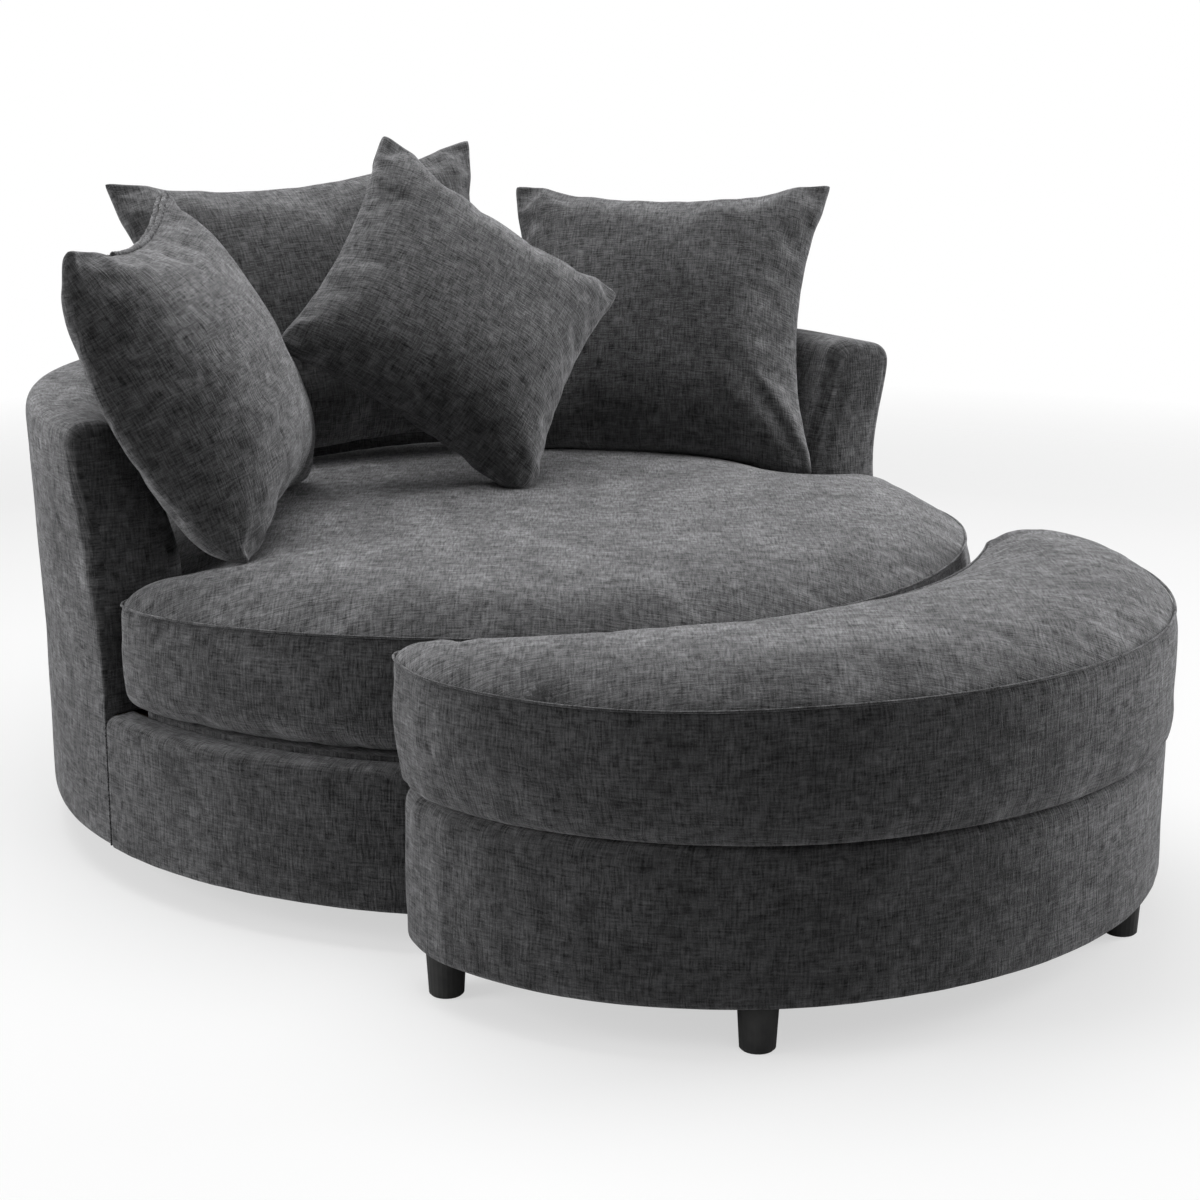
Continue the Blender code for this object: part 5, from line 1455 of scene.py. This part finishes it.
class Pillows(bpy.types.Operator):
    """Makes the four loose pillows, each pressed flat where it rests on what is there before it"""

    bl_idname = "round_chair.pillows"
    bl_label = "Loose Pillows"

    def execute(self, context):
        chair = context.scene.round_chair
        rests = [tree_of(bpy.data.objects["round_seat_cushion"]), tree_of(bpy.data.objects["barrel_cover"])]
        for number, (name, (size, middle, aim)) in enumerate(PILLOWS.items()):
            pillow, partners, front = self.sew(chair.pillows, name, size, middle, aim, number)
            yield_to(pillow, rests, partners, REST_GAP)
            level = pillow.matrix_world.copy()
            pillow.data.transform(level)
            pillow.matrix_world = Matrix.Identity(4)
            rests.append(tree_of(pillow))
            dress(pillow, "chair", "charcoal_cloth", name, fill=chair.pillows.fill)
            if name == "pillow_left":
                self.close(pillow, front, level)
        return {"FINISHED"}

    def sew(self, pillows, name, size, middle, aim, number):
        """Sews two square sheets together at their edges and fills them."""
        width, height, depth = size
        turn, lean, roll = (math.radians(angle) for angle in aim)
        leaning = Matrix.Rotation(turn, 3, "Z") @ Matrix.Rotation(-lean, 3, "X")
        level = leaning @ Matrix.Rotation(-roll, 3, "Y")
        down = level.inverted() @ Vector((0, 0, -1))
        even = np.linspace(-1, 1, PILLOW_CELLS + 1)
        stops = 0.5 * np.sin(math.pi * even / 2) + 0.5 * even
        u, v = np.meshgrid(stops, stops)
        corner = BLUNT * (u * u * v * v) ** 8
        left_in, right_in, low_in, high_in = (share * pillows.pull for share in DRAWN_IN[name])
        x = width / 2 * u * (1 - np.where(u < 0, left_in, right_in) * (1 - v * v)) - np.sign(u) * corner
        z = height / 2 * v * (1 - np.where(v < 0, low_in, high_in) * (1 - u * u)) - np.sign(v) * corner
        x *= 1 - TAPERS.get(name, 0) * (1 - v) / 2
        full = np.maximum((1 - u * u) * (1 - v * v), 0) ** FULLNESS
        sag = 1 + SAG * (u * down.x + v * down.z)
        y = depth / 2 * pillows.plump * full * sag
        left, low_edge = WRAPS.get(name, (0, 0))
        wrap = left * (1 - v * v) * ((1 - u) / 2) ** 2 + low_edge * (1 - u * u) * ((1 - v) / 2) ** 2
        x -= 0.35 * wrap * (1 - full)
        across, up, far = CURLS.get(name, (0, 0, 0))
        middle_y = wrap * (1 - full) + far * ((1 + across * u) * (1 + up * v) / 4) ** 2
        front = np.stack([x, middle_y - y, z], -1)
        back = np.stack([x, middle_y + y * (1 - 4 * wrap), z], -1)
        edge = np.minimum(1 - np.abs(u), 1 - np.abs(v))
        bumps = self.bumps(name, number, u, v, front, full) * smooth(edge * EDGE_RISE)
        cloth = Cut()
        first = cloth.add(front)
        second = first.copy()
        inner = (slice(1, -1), slice(1, -1))
        second[inner] = cloth.add(back[inner])
        partners = np.arange(len(cloth.points))
        partners[first[inner]], partners[second[inner]] = second[inner], first[inner]
        runs = np.where(np.abs(u) > np.abs(v), v * height / 2, u * width / 2)
        seam = pairs(runs + number, edge * width / 2 + PILLOW_SEAM_START)
        cloth.sew(first, laid_out(front), seam)
        cloth.sew(second[:, ::-1], laid_out(back)[:, ::-1] + BACK_SHIFT, seam[:, ::-1])
        pillow = cloth.piece(name + "_cover")
        pillow.matrix_world = Matrix.Translation(middle) @ level.to_4x4()
        held = np.zeros(len(cloth.points))
        held[np.concatenate([first[0], first[-1], first[:, 0], first[:, -1]])] = 1.0
        puff(pillow, held, pressure=3.0, growth=0.035, most=0.012, frames=22, softness=0.2)
        points = positions(pillow)
        points[first[inner].ravel(), 1] += bumps[inner].ravel()
        place(pillow, points)
        return pillow, partners, first

    def bumps(self, name, number, u, v, front, full):
        """How far the filling, the folds and a bunched corner lift the cloth."""
        swell = uneven(front + (number, 0, 0), PILLOW_SWELL_SIZE, PILLOW_SEED + number)
        bumps = PILLOW_SWELL * swell * full
        for start, end, fold, breadth in FOLDS[name]:
            away, along = np.array(start), np.array(end) - np.array(start)
            place_on = ((u - away[0]) * along[0] + (v - away[1]) * along[1]) / (along @ along)
            side = ((u - away[0]) * along[1] - (v - away[1]) * along[0]) / np.linalg.norm(along)
            side += 0.03 * np.sin(place_on * 5 + number)
            fade = smooth(place_on * 3) * smooth((1 - place_on) * 1.6)
            bumps += fold * fade * (bell(side, breadth) - 0.7 * bell(side - 0.1, 0.08))
        if name in BUNCHES:
            across, up, deep = BUNCHES[name]
            near = np.exp(-((u - across) ** 2 + (v - up) ** 2) / BUNCH_REACH ** 2)
            turn = np.arctan2(v - up * BUNCH_FOOT, u - across * BUNCH_FOOT)
            fan = np.cos(BUNCH_TURNS * turn + number)
            bumps += deep * near * (0.5 * fan + 1.4 * uneven(front, BUNCH_SIZE, BUNCH_SEED + number))
        return bumps

    def close(self, pillow, front, level):
        """Sets the zip into the pillow's top edge, between two gathered lips of cloth."""
        matrix = np.array(level)
        edge = settled(pillow)[front[-1]][PILLOW_CELLS // 3:-2]
        edge = (edge - matrix[:3, 3]) @ matrix[:3, :3]
        path = spread(edge, ZIP_POINTS)
        for name, (side, lift, radius) in ZIP_CORDS.items():
            wave = LIP_WAVE * np.sin(np.arange(ZIP_POINTS) * LIP_RATE + side * 900) * (side != 0)
            shift = path + (0, side, lift) + np.stack([np.zeros(ZIP_POINTS), wave, wave], -1)
            room = shift @ matrix[:3, :3].T + matrix[:3, 3]
            cord = welt("pillow_left_zip_" + name, room, radius, closed=False)
            dress(cord, "chair", "charcoal_cloth" if side else "black_cloth")
        corners = np.array([[across * TOOTH_X, up * TOOTH_Y, TOOTH_LOW]
                            for across, up in ((-1, -1), (1, -1), (1, 1), (-1, 1))])
        teeth = Cut()
        for place_on in spread(path, ZIP_TEETH):
            box = place_on + corners
            low = teeth.add(box)
            high = teeth.add(box + (0, 0, TOOTH_RISE))
            teeth.sew_level(np.stack([np.append(low, low[0]), np.append(high, high[0])]))
            for quad in (low[::-1], high):
                teeth.sew_level(np.array([[quad[0], quad[1]], [quad[3], quad[2]]]))
        teeth.points = teeth.points @ matrix[:3, :3].T + matrix[:3, 3]
        dress(teeth.piece("pillow_left_zip_teeth", 0), "chair", "glide")


# The ottoman

# Points along each long side of the crescent and round each of its ends
LONG_COUNT, END_COUNT = 116, 26
# Where the horns end as a share of half the width, their rounds' length, and how much an inset shortens it
HORN_SHARE, HORN_LENGTH, HORN_INSET = 0.895, 0.058, 0.6
# The horns' folds: how they stretch along the height, their size, where they start across and ahead
FOLD_STRETCH, FOLD_SIZE = (1, 1, 0.13), 0.017
FOLDS_FROM, FOLDS_AHEAD, FOLDS_RUN = 0.62, 0.95, 0.3
# The box cover: the insets of its side and rim, its shell, its top's rounds at the left and right, its rows
BOX_INSET, BOX_RIM, BOX_SHELL = 0.010, 0.047, 0.0105
BOX_TOP_ROUNDS, BOX_ROWS = (0.031, 0.014), 36
BOX_SWELLS = ((0.0012, 0.15, 41), (0.0007, 0.05, 42))
BOX_HEM_GATHERS = (0.0010, 0.012, 43, 0.07)
BOX_FOLD, BOX_FOLD_SEED, BOX_FOLD_RUN, BOX_DEEPEST = 0.0040, 44, 0.05, -0.0022
# The outline that the box's folds point away from, and the inset that they end at on its top
BOX_CORE, BOX_FOLDS_END = 0.025, 0.0265
# How deep the lid's seam dips at the left horn, from where and over how far
HORN_DIP, HORN_DIP_RISE = 0.007, (0.22, 0.26)
# Where the ottoman's right end starts, and over how far
RIGHT_END_RISE = (0.02, 0.30)
# The lid: how far it hangs below its board, the pocket round the board, its lower round and its bulge
LID_LIP, LID_POCKET, LID_EDGE, LID_BULGE = 0.0010, 0.0228, 0.013, 0.0010
LID_FOLD, LID_FOLD_SEED, LID_FOLD_RUN = 0.0046, 51, 0.05
# The deepest that the lid's folds go beside the board, how much deeper above it, and over how far
LID_DEEPEST, LID_DEEPER, LID_DEEPER_RUN = 0.001, 0.004, 0.03
# The side's rows have a smaller inset than this; how far the pocket's rows are above the board's faces
LID_SIDE_FROM, POCKET_TOP, POCKET_FOOT = 0.0125, 0.0008, 0.0002
# The side's tuck below a height, its run and inset, its share, and what the ends have more and where
TUCK_BELOW, TUCK_RUN, TUCK_INSET, TUCK_SHARE = 0.335, 0.085, 0.01, 0.1
END_TUCK, END_TUCK_RISE = 0.7, (0.25, 0.20)
# The lower edge that is raised at the right end: how far up it reaches, its run, and its share of the lip
LOW_EDGE, LOW_EDGE_RUN, LOW_EDGE_SHARE = 0.012, 0.01, 1.2
# How far the right side is drawn in at the board and further above it, over what height, and where
DRAWN_LOW, DRAWN_HIGH, DRAWN_RUN, DRAWN_RISE = 0.002, 0.016, 0.05, (0.15, 0.3)
# The least distance from the seam that the seam map of the lid's side and of its top holds
LID_SIDE_START, LID_TOP_START = 0.012, 0.003
LID_SWELLS = ((0.0010, 0.05, 52),)
# How far in from the seam the lid's crown rises, the height and the reach of its quick edge
LID_CROWN_REACH, LID_PLUMP, LID_PLUMP_REACH = 0.15, 0.011, 0.018
LID_TOP_SWELLS = ((0.0016, 0.16, 53),)


class Crescent:
    """The ottoman's outline from above, moved inwards by an inset.

    Outside it is half an ellipse and inside an arc about the swivel axis, with blunt round horns.
    """

    def __init__(self, ottoman, inset):
        self.half_width = ottoman.half_width - inset
        self.depth = ottoman.depth - inset
        self.setback = ottoman.setback
        self.inner = ottoman.inner + inset
        self.step = ottoman.step
        end = math.asin(HORN_SHARE * ottoman.half_width / ottoman.inner)
        self.last_turn = end - inset / self.inner
        self.horn_turn = self.last_turn - (HORN_LENGTH - inset * HORN_INSET) / self.inner

    def loop(self, angle, height):
        """Points of the outline: outside from the left tip at 0 to the right one at pi, and back inside."""
        turn = -np.cos(angle) * self.last_turn
        side = np.sign(np.sin(angle))
        across = (np.sin(turn) / self.half_width) ** 2
        ahead = (np.cos(turn) / self.depth) ** 2
        back = self.setback * np.cos(turn) / self.depth ** 2
        rest = (self.setback / self.depth) ** 2 - 1
        outer = (back + np.sqrt(back ** 2 - (across + ahead) * rest)) / (across + ahead)
        tip = np.maximum(np.abs(turn) - self.horn_turn, 0) / (self.last_turn - self.horn_turn)
        half = (outer - self.inner) / 2 * np.sqrt(np.maximum(1 - tip ** 2, 0))
        return turned((outer + self.inner) / 2 + side * half, turn, height) + (self.step, 0, 0)


def crescent_angles(ottoman):
    """Even places round the crescent: the outside, the right end, the inside and the left end."""
    dense = np.linspace(0, 2 * math.pi, 6001)
    shape = Crescent(ottoman, 0)
    along = lengths(shape.loop(dense, 0.0))
    shoulder = math.acos(shape.horn_turn / shape.last_turn)
    marks = [shoulder, math.pi - shoulder, math.pi + shoulder]
    marks += [2 * math.pi - shoulder, 2 * math.pi + shoulder]
    angles = []
    for start, end, count in zip(marks, marks[1:], (LONG_COUNT, END_COUNT) * 2):
        first, last = np.interp([start, min(end, 2 * math.pi)], dense, along)
        if end > 2 * math.pi:
            last = along[-1] + np.interp(end - 2 * math.pi, dense, along)
        places = np.linspace(first, last, count + 1)[:-1] % along[-1]
        angles.append(np.interp(places, along, dense))
    return np.concatenate(angles)


def crescents(ottoman, angles, profile):
    """The crescent's loops for a profile of insets and heights."""
    return np.array([Crescent(ottoman, inset).loop(angles, height) for inset, height in profile])


def crescent_fill(cloth, row, shape=None):
    """Fills a closed row round the crescent."""
    closed = np.append(row, row[0])
    outside = closed[:LONG_COUNT + 1]
    right = closed[LONG_COUNT:LONG_COUNT + END_COUNT + 1][::-1]
    inside = closed[LONG_COUNT + END_COUNT:2 * LONG_COUNT + END_COUNT + 1][::-1]
    left = closed[2 * LONG_COUNT + END_COUNT:]
    return cloth.fill(inside, outside, left, right, shape)


def horn_folds(points, ottoman, size, seed):
    """Upright folds in the cloth round the horns, as heights."""
    reach = np.abs(points[..., 0] - ottoman.step) / ottoman.half_width
    near = rising(reach, FOLDS_FROM, FOLDS_RUN) * smooth((points[..., 1] + FOLDS_AHEAD) / FOLDS_RUN)
    return size * uneven(points * FOLD_STRETCH, FOLD_SIZE, seed) * near


def horn_dip(points):
    """How far the lid's seam dips at its left horn."""
    return HORN_DIP * rising(-points[..., 0], *HORN_DIP_RISE)


def to_the_right(points):
    """How near each point is to the ottoman's right end, from 0 to 1."""
    return rising(points[..., 0], *RIGHT_END_RISE)


class OttomanBase(bpy.types.Operator):
    """Sews the cover of the ottoman's box"""

    bl_idname = "round_chair.ottoman_base"
    bl_label = "Ottoman Base"

    def execute(self, context):
        ottoman = context.scene.round_chair.ottoman
        angles = crescent_angles(ottoman)
        low, high = ottoman.hem, ottoman.box_top
        both = []
        for top_round in BOX_TOP_ROUNDS:
            profile = rolled_edge(BOX_INSET, BOX_RIM, low, high, BOX_SHELL, top_round, BOX_ROWS)
            both.append(crescents(ottoman, angles, profile))
        share = to_the_right(both[0])[..., None]
        loops = both[0] * (1 - share) + both[1] * share
        away = level_way(loops - Crescent(ottoman, BOX_CORE).loop(angles, 0.0)[None])
        shown = (profile[:, 0] < BOX_FOLDS_END) & (np.arange(len(profile)) < len(profile) - 3)
        above = loops[..., 2] - low
        swell = swells(loops, BOX_SWELLS) + hem_gathers(loops, above, *BOX_HEM_GATHERS)
        swell += horn_folds(loops, ottoman, BOX_FOLD, BOX_FOLD_SEED) * smooth(above / BOX_FOLD_RUN)
        loops += away * (np.maximum(swell, BOX_DEEPEST) * shown[:, None])[..., None]
        cloth = Cut()
        numbers = wrapped(cloth.add(loops))
        rise = lengths(closed_path(profile))
        flat = pairs(around(loops)[len(profile) // 2][None, :], rise[:, None])
        cloth.sew(closed_path(numbers), flat)
        cover = cloth.piece("ottoman_box_cover")
        dress(cover, "standing_base", "charcoal_cloth", "ottoman_cover", fill=0.4)
        return {"FINISHED"}


class OttomanLid(bpy.types.Operator):
    """Makes the ottoman's crowned lid cushion and its seam"""

    bl_idname = "round_chair.ottoman_lid"
    bl_label = "Ottoman Lid"

    def execute(self, context):
        ottoman = context.scene.round_chair.ottoman
        angles = crescent_angles(ottoman)
        board_low, board_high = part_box("lid_board")
        loops = self.loops(ottoman, angles, board_low.z, board_high.z)
        away = level_way(loops[-1] - Crescent(ottoman, 0.02).loop(angles, ottoman.seam))
        below = ottoman.seam - loops[..., 2]
        folds = horn_folds(loops, ottoman, LID_FOLD, LID_FOLD_SEED) * smooth(below / LID_FOLD_RUN)
        folds += swells(loops, LID_SWELLS) * smooth(below / LID_FOLD_RUN)
        deepest = -LID_DEEPEST - LID_DEEPER * rising(loops[..., 2], board_high.z, LID_DEEPER_RUN)
        folds = np.maximum(folds, deepest)
        loops[2:] += away[None] * folds[2:, :, None]
        cloth = Cut()
        numbers = cloth.add(loops)
        along = around(loops)
        flat = pairs(along[len(loops) // 2][None, :], upwards(loops)[:, None])
        from_seam = ottoman.seam - loops[..., 2] + LID_SIDE_START
        cloth.sew(wrapped(numbers), flat, pairs(along, wrapped(from_seam)))
        rim = loops[-1][:, :2]

        def crowned(points):
            gap = edge_distance(points, rim)
            reach = np.clip(gap / LID_CROWN_REACH, 0, 1)
            plump = LID_PLUMP * (1 - np.exp(-gap / LID_PLUMP_REACH))
            points[..., 2] = ottoman.seam - horn_dip(points) + plump
            points[..., 2] += ottoman.crown * (1 - (1 - reach) ** 2.8)
            points[..., 2] += swells(points, LID_TOP_SWELLS) * smooth(reach * 2)
            return points

        top = crescent_fill(cloth, numbers[-1], crowned)
        face = cloth.points[top]
        gap = edge_distance(face, rim)
        horn = rising(np.abs(face[..., 0] - ottoman.step) / ottoman.half_width, 0.55, 0.25)
        slide = np.arctan2(face[..., 1] + 0.75, face[..., 0] - ottoman.step) * 0.35
        seam = pairs(slide, gap * (1 + 3 * (1 - horn)) + LID_TOP_START)
        cloth.sew(top, face[..., :2] @ PILE_TURN, seam)
        bottom = crescent_fill(cloth, numbers[0])
        cloth.sew_level(bottom)
        piece = cloth.piece("ottoman_lid_cushion")
        held = np.zeros(len(cloth.points))
        held[np.concatenate([numbers[-1], numbers[:4].ravel(), bottom.ravel()])] = 1.0
        puff(piece, held, pressure=4.0, growth=0.008, most=0.008, frames=16)
        dress(piece, "ottoman_lid", "charcoal_cloth", "lid_cushion", fill=0.8)
        seam_cord("ottoman_lid_seam", "ottoman_lid", positions(piece)[numbers[-1]], away)
        return {"FINISHED"}

    def loops(self, ottoman, angles, board_low, board_high):
        """The side's loops, from the pocket round the board to the top seam."""
        side = boxed_side(board_low - LID_LIP, ottoman.seam, LID_EDGE, LID_BULGE)
        side = side[side[:, 0] < LID_SIDE_FROM]
        pocket = [(LID_POCKET, board_high + POCKET_TOP), (LID_POCKET, board_low + POCKET_FOOT)]
        loops = crescents(ottoman, angles, np.concatenate([pocket, side]))
        under = smooth((TUCK_BELOW - loops[2:, :, 2]) / TUCK_RUN)
        ends = rising(np.abs(loops[2:, :, 0] - ottoman.step), *END_TUCK_RISE)
        inset = Crescent(ottoman, TUCK_INSET).loop(angles, 0.0) - Crescent(ottoman, 0.0).loop(angles, 0.0)
        loops[2:] += inset[None] * (under * (TUCK_SHARE + END_TUCK * ends))[..., None]
        low_edge = smooth((board_low + LOW_EDGE - loops[2:, :, 2]) / LOW_EDGE_RUN)
        loops[2:, :, 2] += LOW_EDGE_SHARE * LID_LIP * low_edge * to_the_right(loops[2:])
        drawn = DRAWN_LOW + DRAWN_HIGH * rising(loops[2:, :, 2], board_high, DRAWN_RUN)
        loops[2:, :, 0] -= drawn * rising(loops[2:, :, 0], *DRAWN_RISE)
        rise = np.clip((loops[..., 2] - board_high) / (ottoman.seam - board_high), 0, 1)
        loops[..., 2] -= horn_dip(loops) * rise
        return loops


# The hard pieces

class HardPieces(bpy.types.Operator):
    """Gives the frame, swivel, box and legs their finishes"""

    bl_idname = "round_chair.hard_pieces"
    bl_label = "Frame, Swivel, Box and Legs"

    def execute(self, context):
        for row in frame["record"]["subparts"]:
            if row["material_slot"] == "charcoal_cloth":
                continue
            for slot in frame["nodes"][row["node"]].material_slots:
                slot.material = finish(row["material_slot"])
        return {"FINISHED"}


# The stage

# Each lamp's place, what it faces, its width and depth, and its power in watts
LAMPS = {
    "overhead": ((-0.2, 0.3, 3.0), (0, 0.0, 0.3), (2.6, 2.6), 66),
    "front": ((-0.5, -2.6, 1.9), (0, -0.8, 0.2), (1.4, 1.0), 10),
    "left_side": ((-3.6, 0.6, 1.5), (-0.3, 0, 0.4), (1.6, 2.0), 66),
    "right_side": ((3.2, -1.6, 0.95), (0.3, -0.6, 0.3), (1.4, 1.8), 82),
}
# The camera's place, its directions to the right and up, and its lens and sensor in millimetres
CAMERA_PLACE = (-1.854, -2.749, 1.10)
CAMERA_RIGHT, CAMERA_UP = (0.80896, -0.58786, 0), (0.14287, 0.19661, 0.97002)
LENS, SENSOR = 73.5, 36.0
# The floor's radius, corners and height
FLOOR_RADIUS, FLOOR_CORNERS, FLOOR_HEIGHT = 40, 96, -0.0005
# The paint that takes the shadow and its share, and what rays that aren't the camera's meet
FLOOR_PAINT, FLOOR_SHADE, FLOOR_GREY = (0.9, 0.9, 0.9, 1), 0.42, (0.35, 0.35, 0.35, 1)
# Plain white, and the strength of the even light all round
WHITE, ROOM_LIGHT = (1, 1, 1, 1), 0.25


class Stage(bpy.types.Operator):
    """Sets the floor, the lamps and the camera"""

    bl_idname = "round_chair.stage"
    bl_label = "Stage"

    def execute(self, context):
        scene = context.scene
        scene.view_settings.view_transform = "Standard"
        self.floor()
        self.world(scene)
        for name, (spot, aim, size, power) in LAMPS.items():
            self.lamp(name, Vector(spot), Vector(aim), size, power)
        self.camera(scene)
        return {"FINISHED"}

    def floor(self):
        """A plain white floor that keeps a soft shadow."""
        mesh = bpy.data.meshes.new("floor")
        turn = np.linspace(0, 2 * math.pi, FLOOR_CORNERS, endpoint=False)
        ring = np.stack([FLOOR_RADIUS * np.cos(turn), FLOOR_RADIUS * np.sin(turn)], -1)
        mesh.from_pydata(at_height(ring, FLOOR_HEIGHT).tolist(), [], [list(range(FLOOR_CORNERS))])
        new_object("floor", mesh)
        material, tree, shader = new_finish("white_floor")
        tree.nodes.remove(shader)
        white = add_node(tree, "Emission", {"Color": WHITE, "Strength": 1.0}).outputs[0]
        paint = add_node(tree, "BsdfDiffuse", {"Color": FLOOR_PAINT}).outputs[0]
        grey = add_node(tree, "BsdfDiffuse", {"Color": FLOOR_GREY}).outputs[0]
        seen = mixed_shaders(tree, FLOOR_SHADE, white, paint)
        ray = add_node(tree, "LightPath").outputs["Is Camera Ray"]
        mixed = mixed_shaders(tree, ray, grey, seen)
        where = on_object(tree)
        far = add_node(tree, "VectorMath", {0: where}, operation="LENGTH").outputs["Value"]
        clear = add_node(tree, "BsdfTransparent").outputs[0]
        faded = mixed_shaders(tree, ramp(tree, far, 0.7, -1.6), mixed, clear)
        tree.links.new(faded, tree.nodes["Material Output"].inputs["Surface"])
        mesh.materials.append(material)

    def world(self, scene):
        """Even light all round, and white where the camera looks past the floor."""
        world = bpy.data.worlds.new("studio")
        world.use_nodes = True
        scene.world = world
        tree = world.node_tree
        tree.nodes.remove(tree.nodes["Background"])
        light, white = [add_node(tree, "Background", {"Color": WHITE, "Strength": power}).outputs[0]
                        for power in (ROOM_LIGHT, 1.0)]
        path = add_node(tree, "LightPath").outputs
        seen = maths(tree, "MAXIMUM", path["Is Camera Ray"], path["Is Glossy Ray"])
        seen = maths(tree, "MAXIMUM", seen, path["Is Transmission Ray"])
        mixed = mixed_shaders(tree, seen, light, white)
        tree.links.new(mixed, tree.nodes["World Output"].inputs["Surface"])

    def lamp(self, name, spot, aim, size, power):
        """A soft lamp that faces a point."""
        data = bpy.data.lights.new(name, "AREA")
        data.shape = "RECTANGLE"
        data.size, data.size_y = size
        data.energy = power
        facing = (aim - spot).to_track_quat("-Z", "Y")
        new_object(name, data).matrix_world = Matrix.Translation(spot) @ facing.to_matrix().to_4x4()

    def camera(self, scene):
        """The camera, at the photograph's viewing angle."""
        data = bpy.data.cameras.new("camera")
        data.lens, data.sensor_width = LENS, SENSOR
        data.clip_start, data.clip_end = 0.05, 200
        camera = new_object("camera", data)
        right, up = Vector(CAMERA_RIGHT), Vector(CAMERA_UP)
        turn = Matrix((right, up, right.cross(up))).transposed().to_4x4()
        camera.matrix_world = Matrix.Translation(CAMERA_PLACE) @ turn
        scene.camera = camera


class RoundChairPanel(bpy.types.Panel):
    """Lists the chair's steps and settings"""

    bl_idname = "VIEW3D_PT_round_chair"
    bl_label = "Round Chair"
    bl_space_type = "VIEW_3D"
    bl_region_type = "UI"
    bl_category = "Round Chair"

    def draw(self, context):
        for step in STEPS:
            self.layout.operator(step.bl_idname)
        chair = context.scene.round_chair
        for group in (chair.cloth, chair.barrel, chair.cushion, chair.pillows, chair.ottoman):
            box = self.layout.box()
            for name in group.__annotations__:
                box.prop(group, name)


GROUPS = (ClothFinish, BarrelSizes, CushionSizes, PillowSizes, OttomanSizes, RoundChair)
STEPS = (HardPieces, BarrelCover, BaseCover, SeatCushion, Pillows, OttomanBase, OttomanLid, Stage)


def register():
    """Registers the settings, the steps and the panel."""
    for kind in (*GROUPS, *STEPS, RoundChairPanel):
        bpy.utils.register_class(kind)
    bpy.types.Scene.round_chair = PointerProperty(type=RoundChair)


def unregister():
    """Takes the settings, the steps and the panel out again."""
    del bpy.types.Scene.round_chair
    for kind in reversed((*GROUPS, *STEPS, RoundChairPanel)):
        bpy.utils.unregister_class(kind)


def main():
    """Makes every piece."""
    register()
    bpy.ops.round_chair.hard_pieces()
    bpy.ops.round_chair.barrel_cover()
    bpy.ops.round_chair.base_cover()
    bpy.ops.round_chair.seat_cushion()
    bpy.ops.round_chair.pillows()
    bpy.ops.round_chair.ottoman_base()
    bpy.ops.round_chair.ottoman_lid()
    bpy.ops.round_chair.stage()


if __name__ == "__main__":
    main()
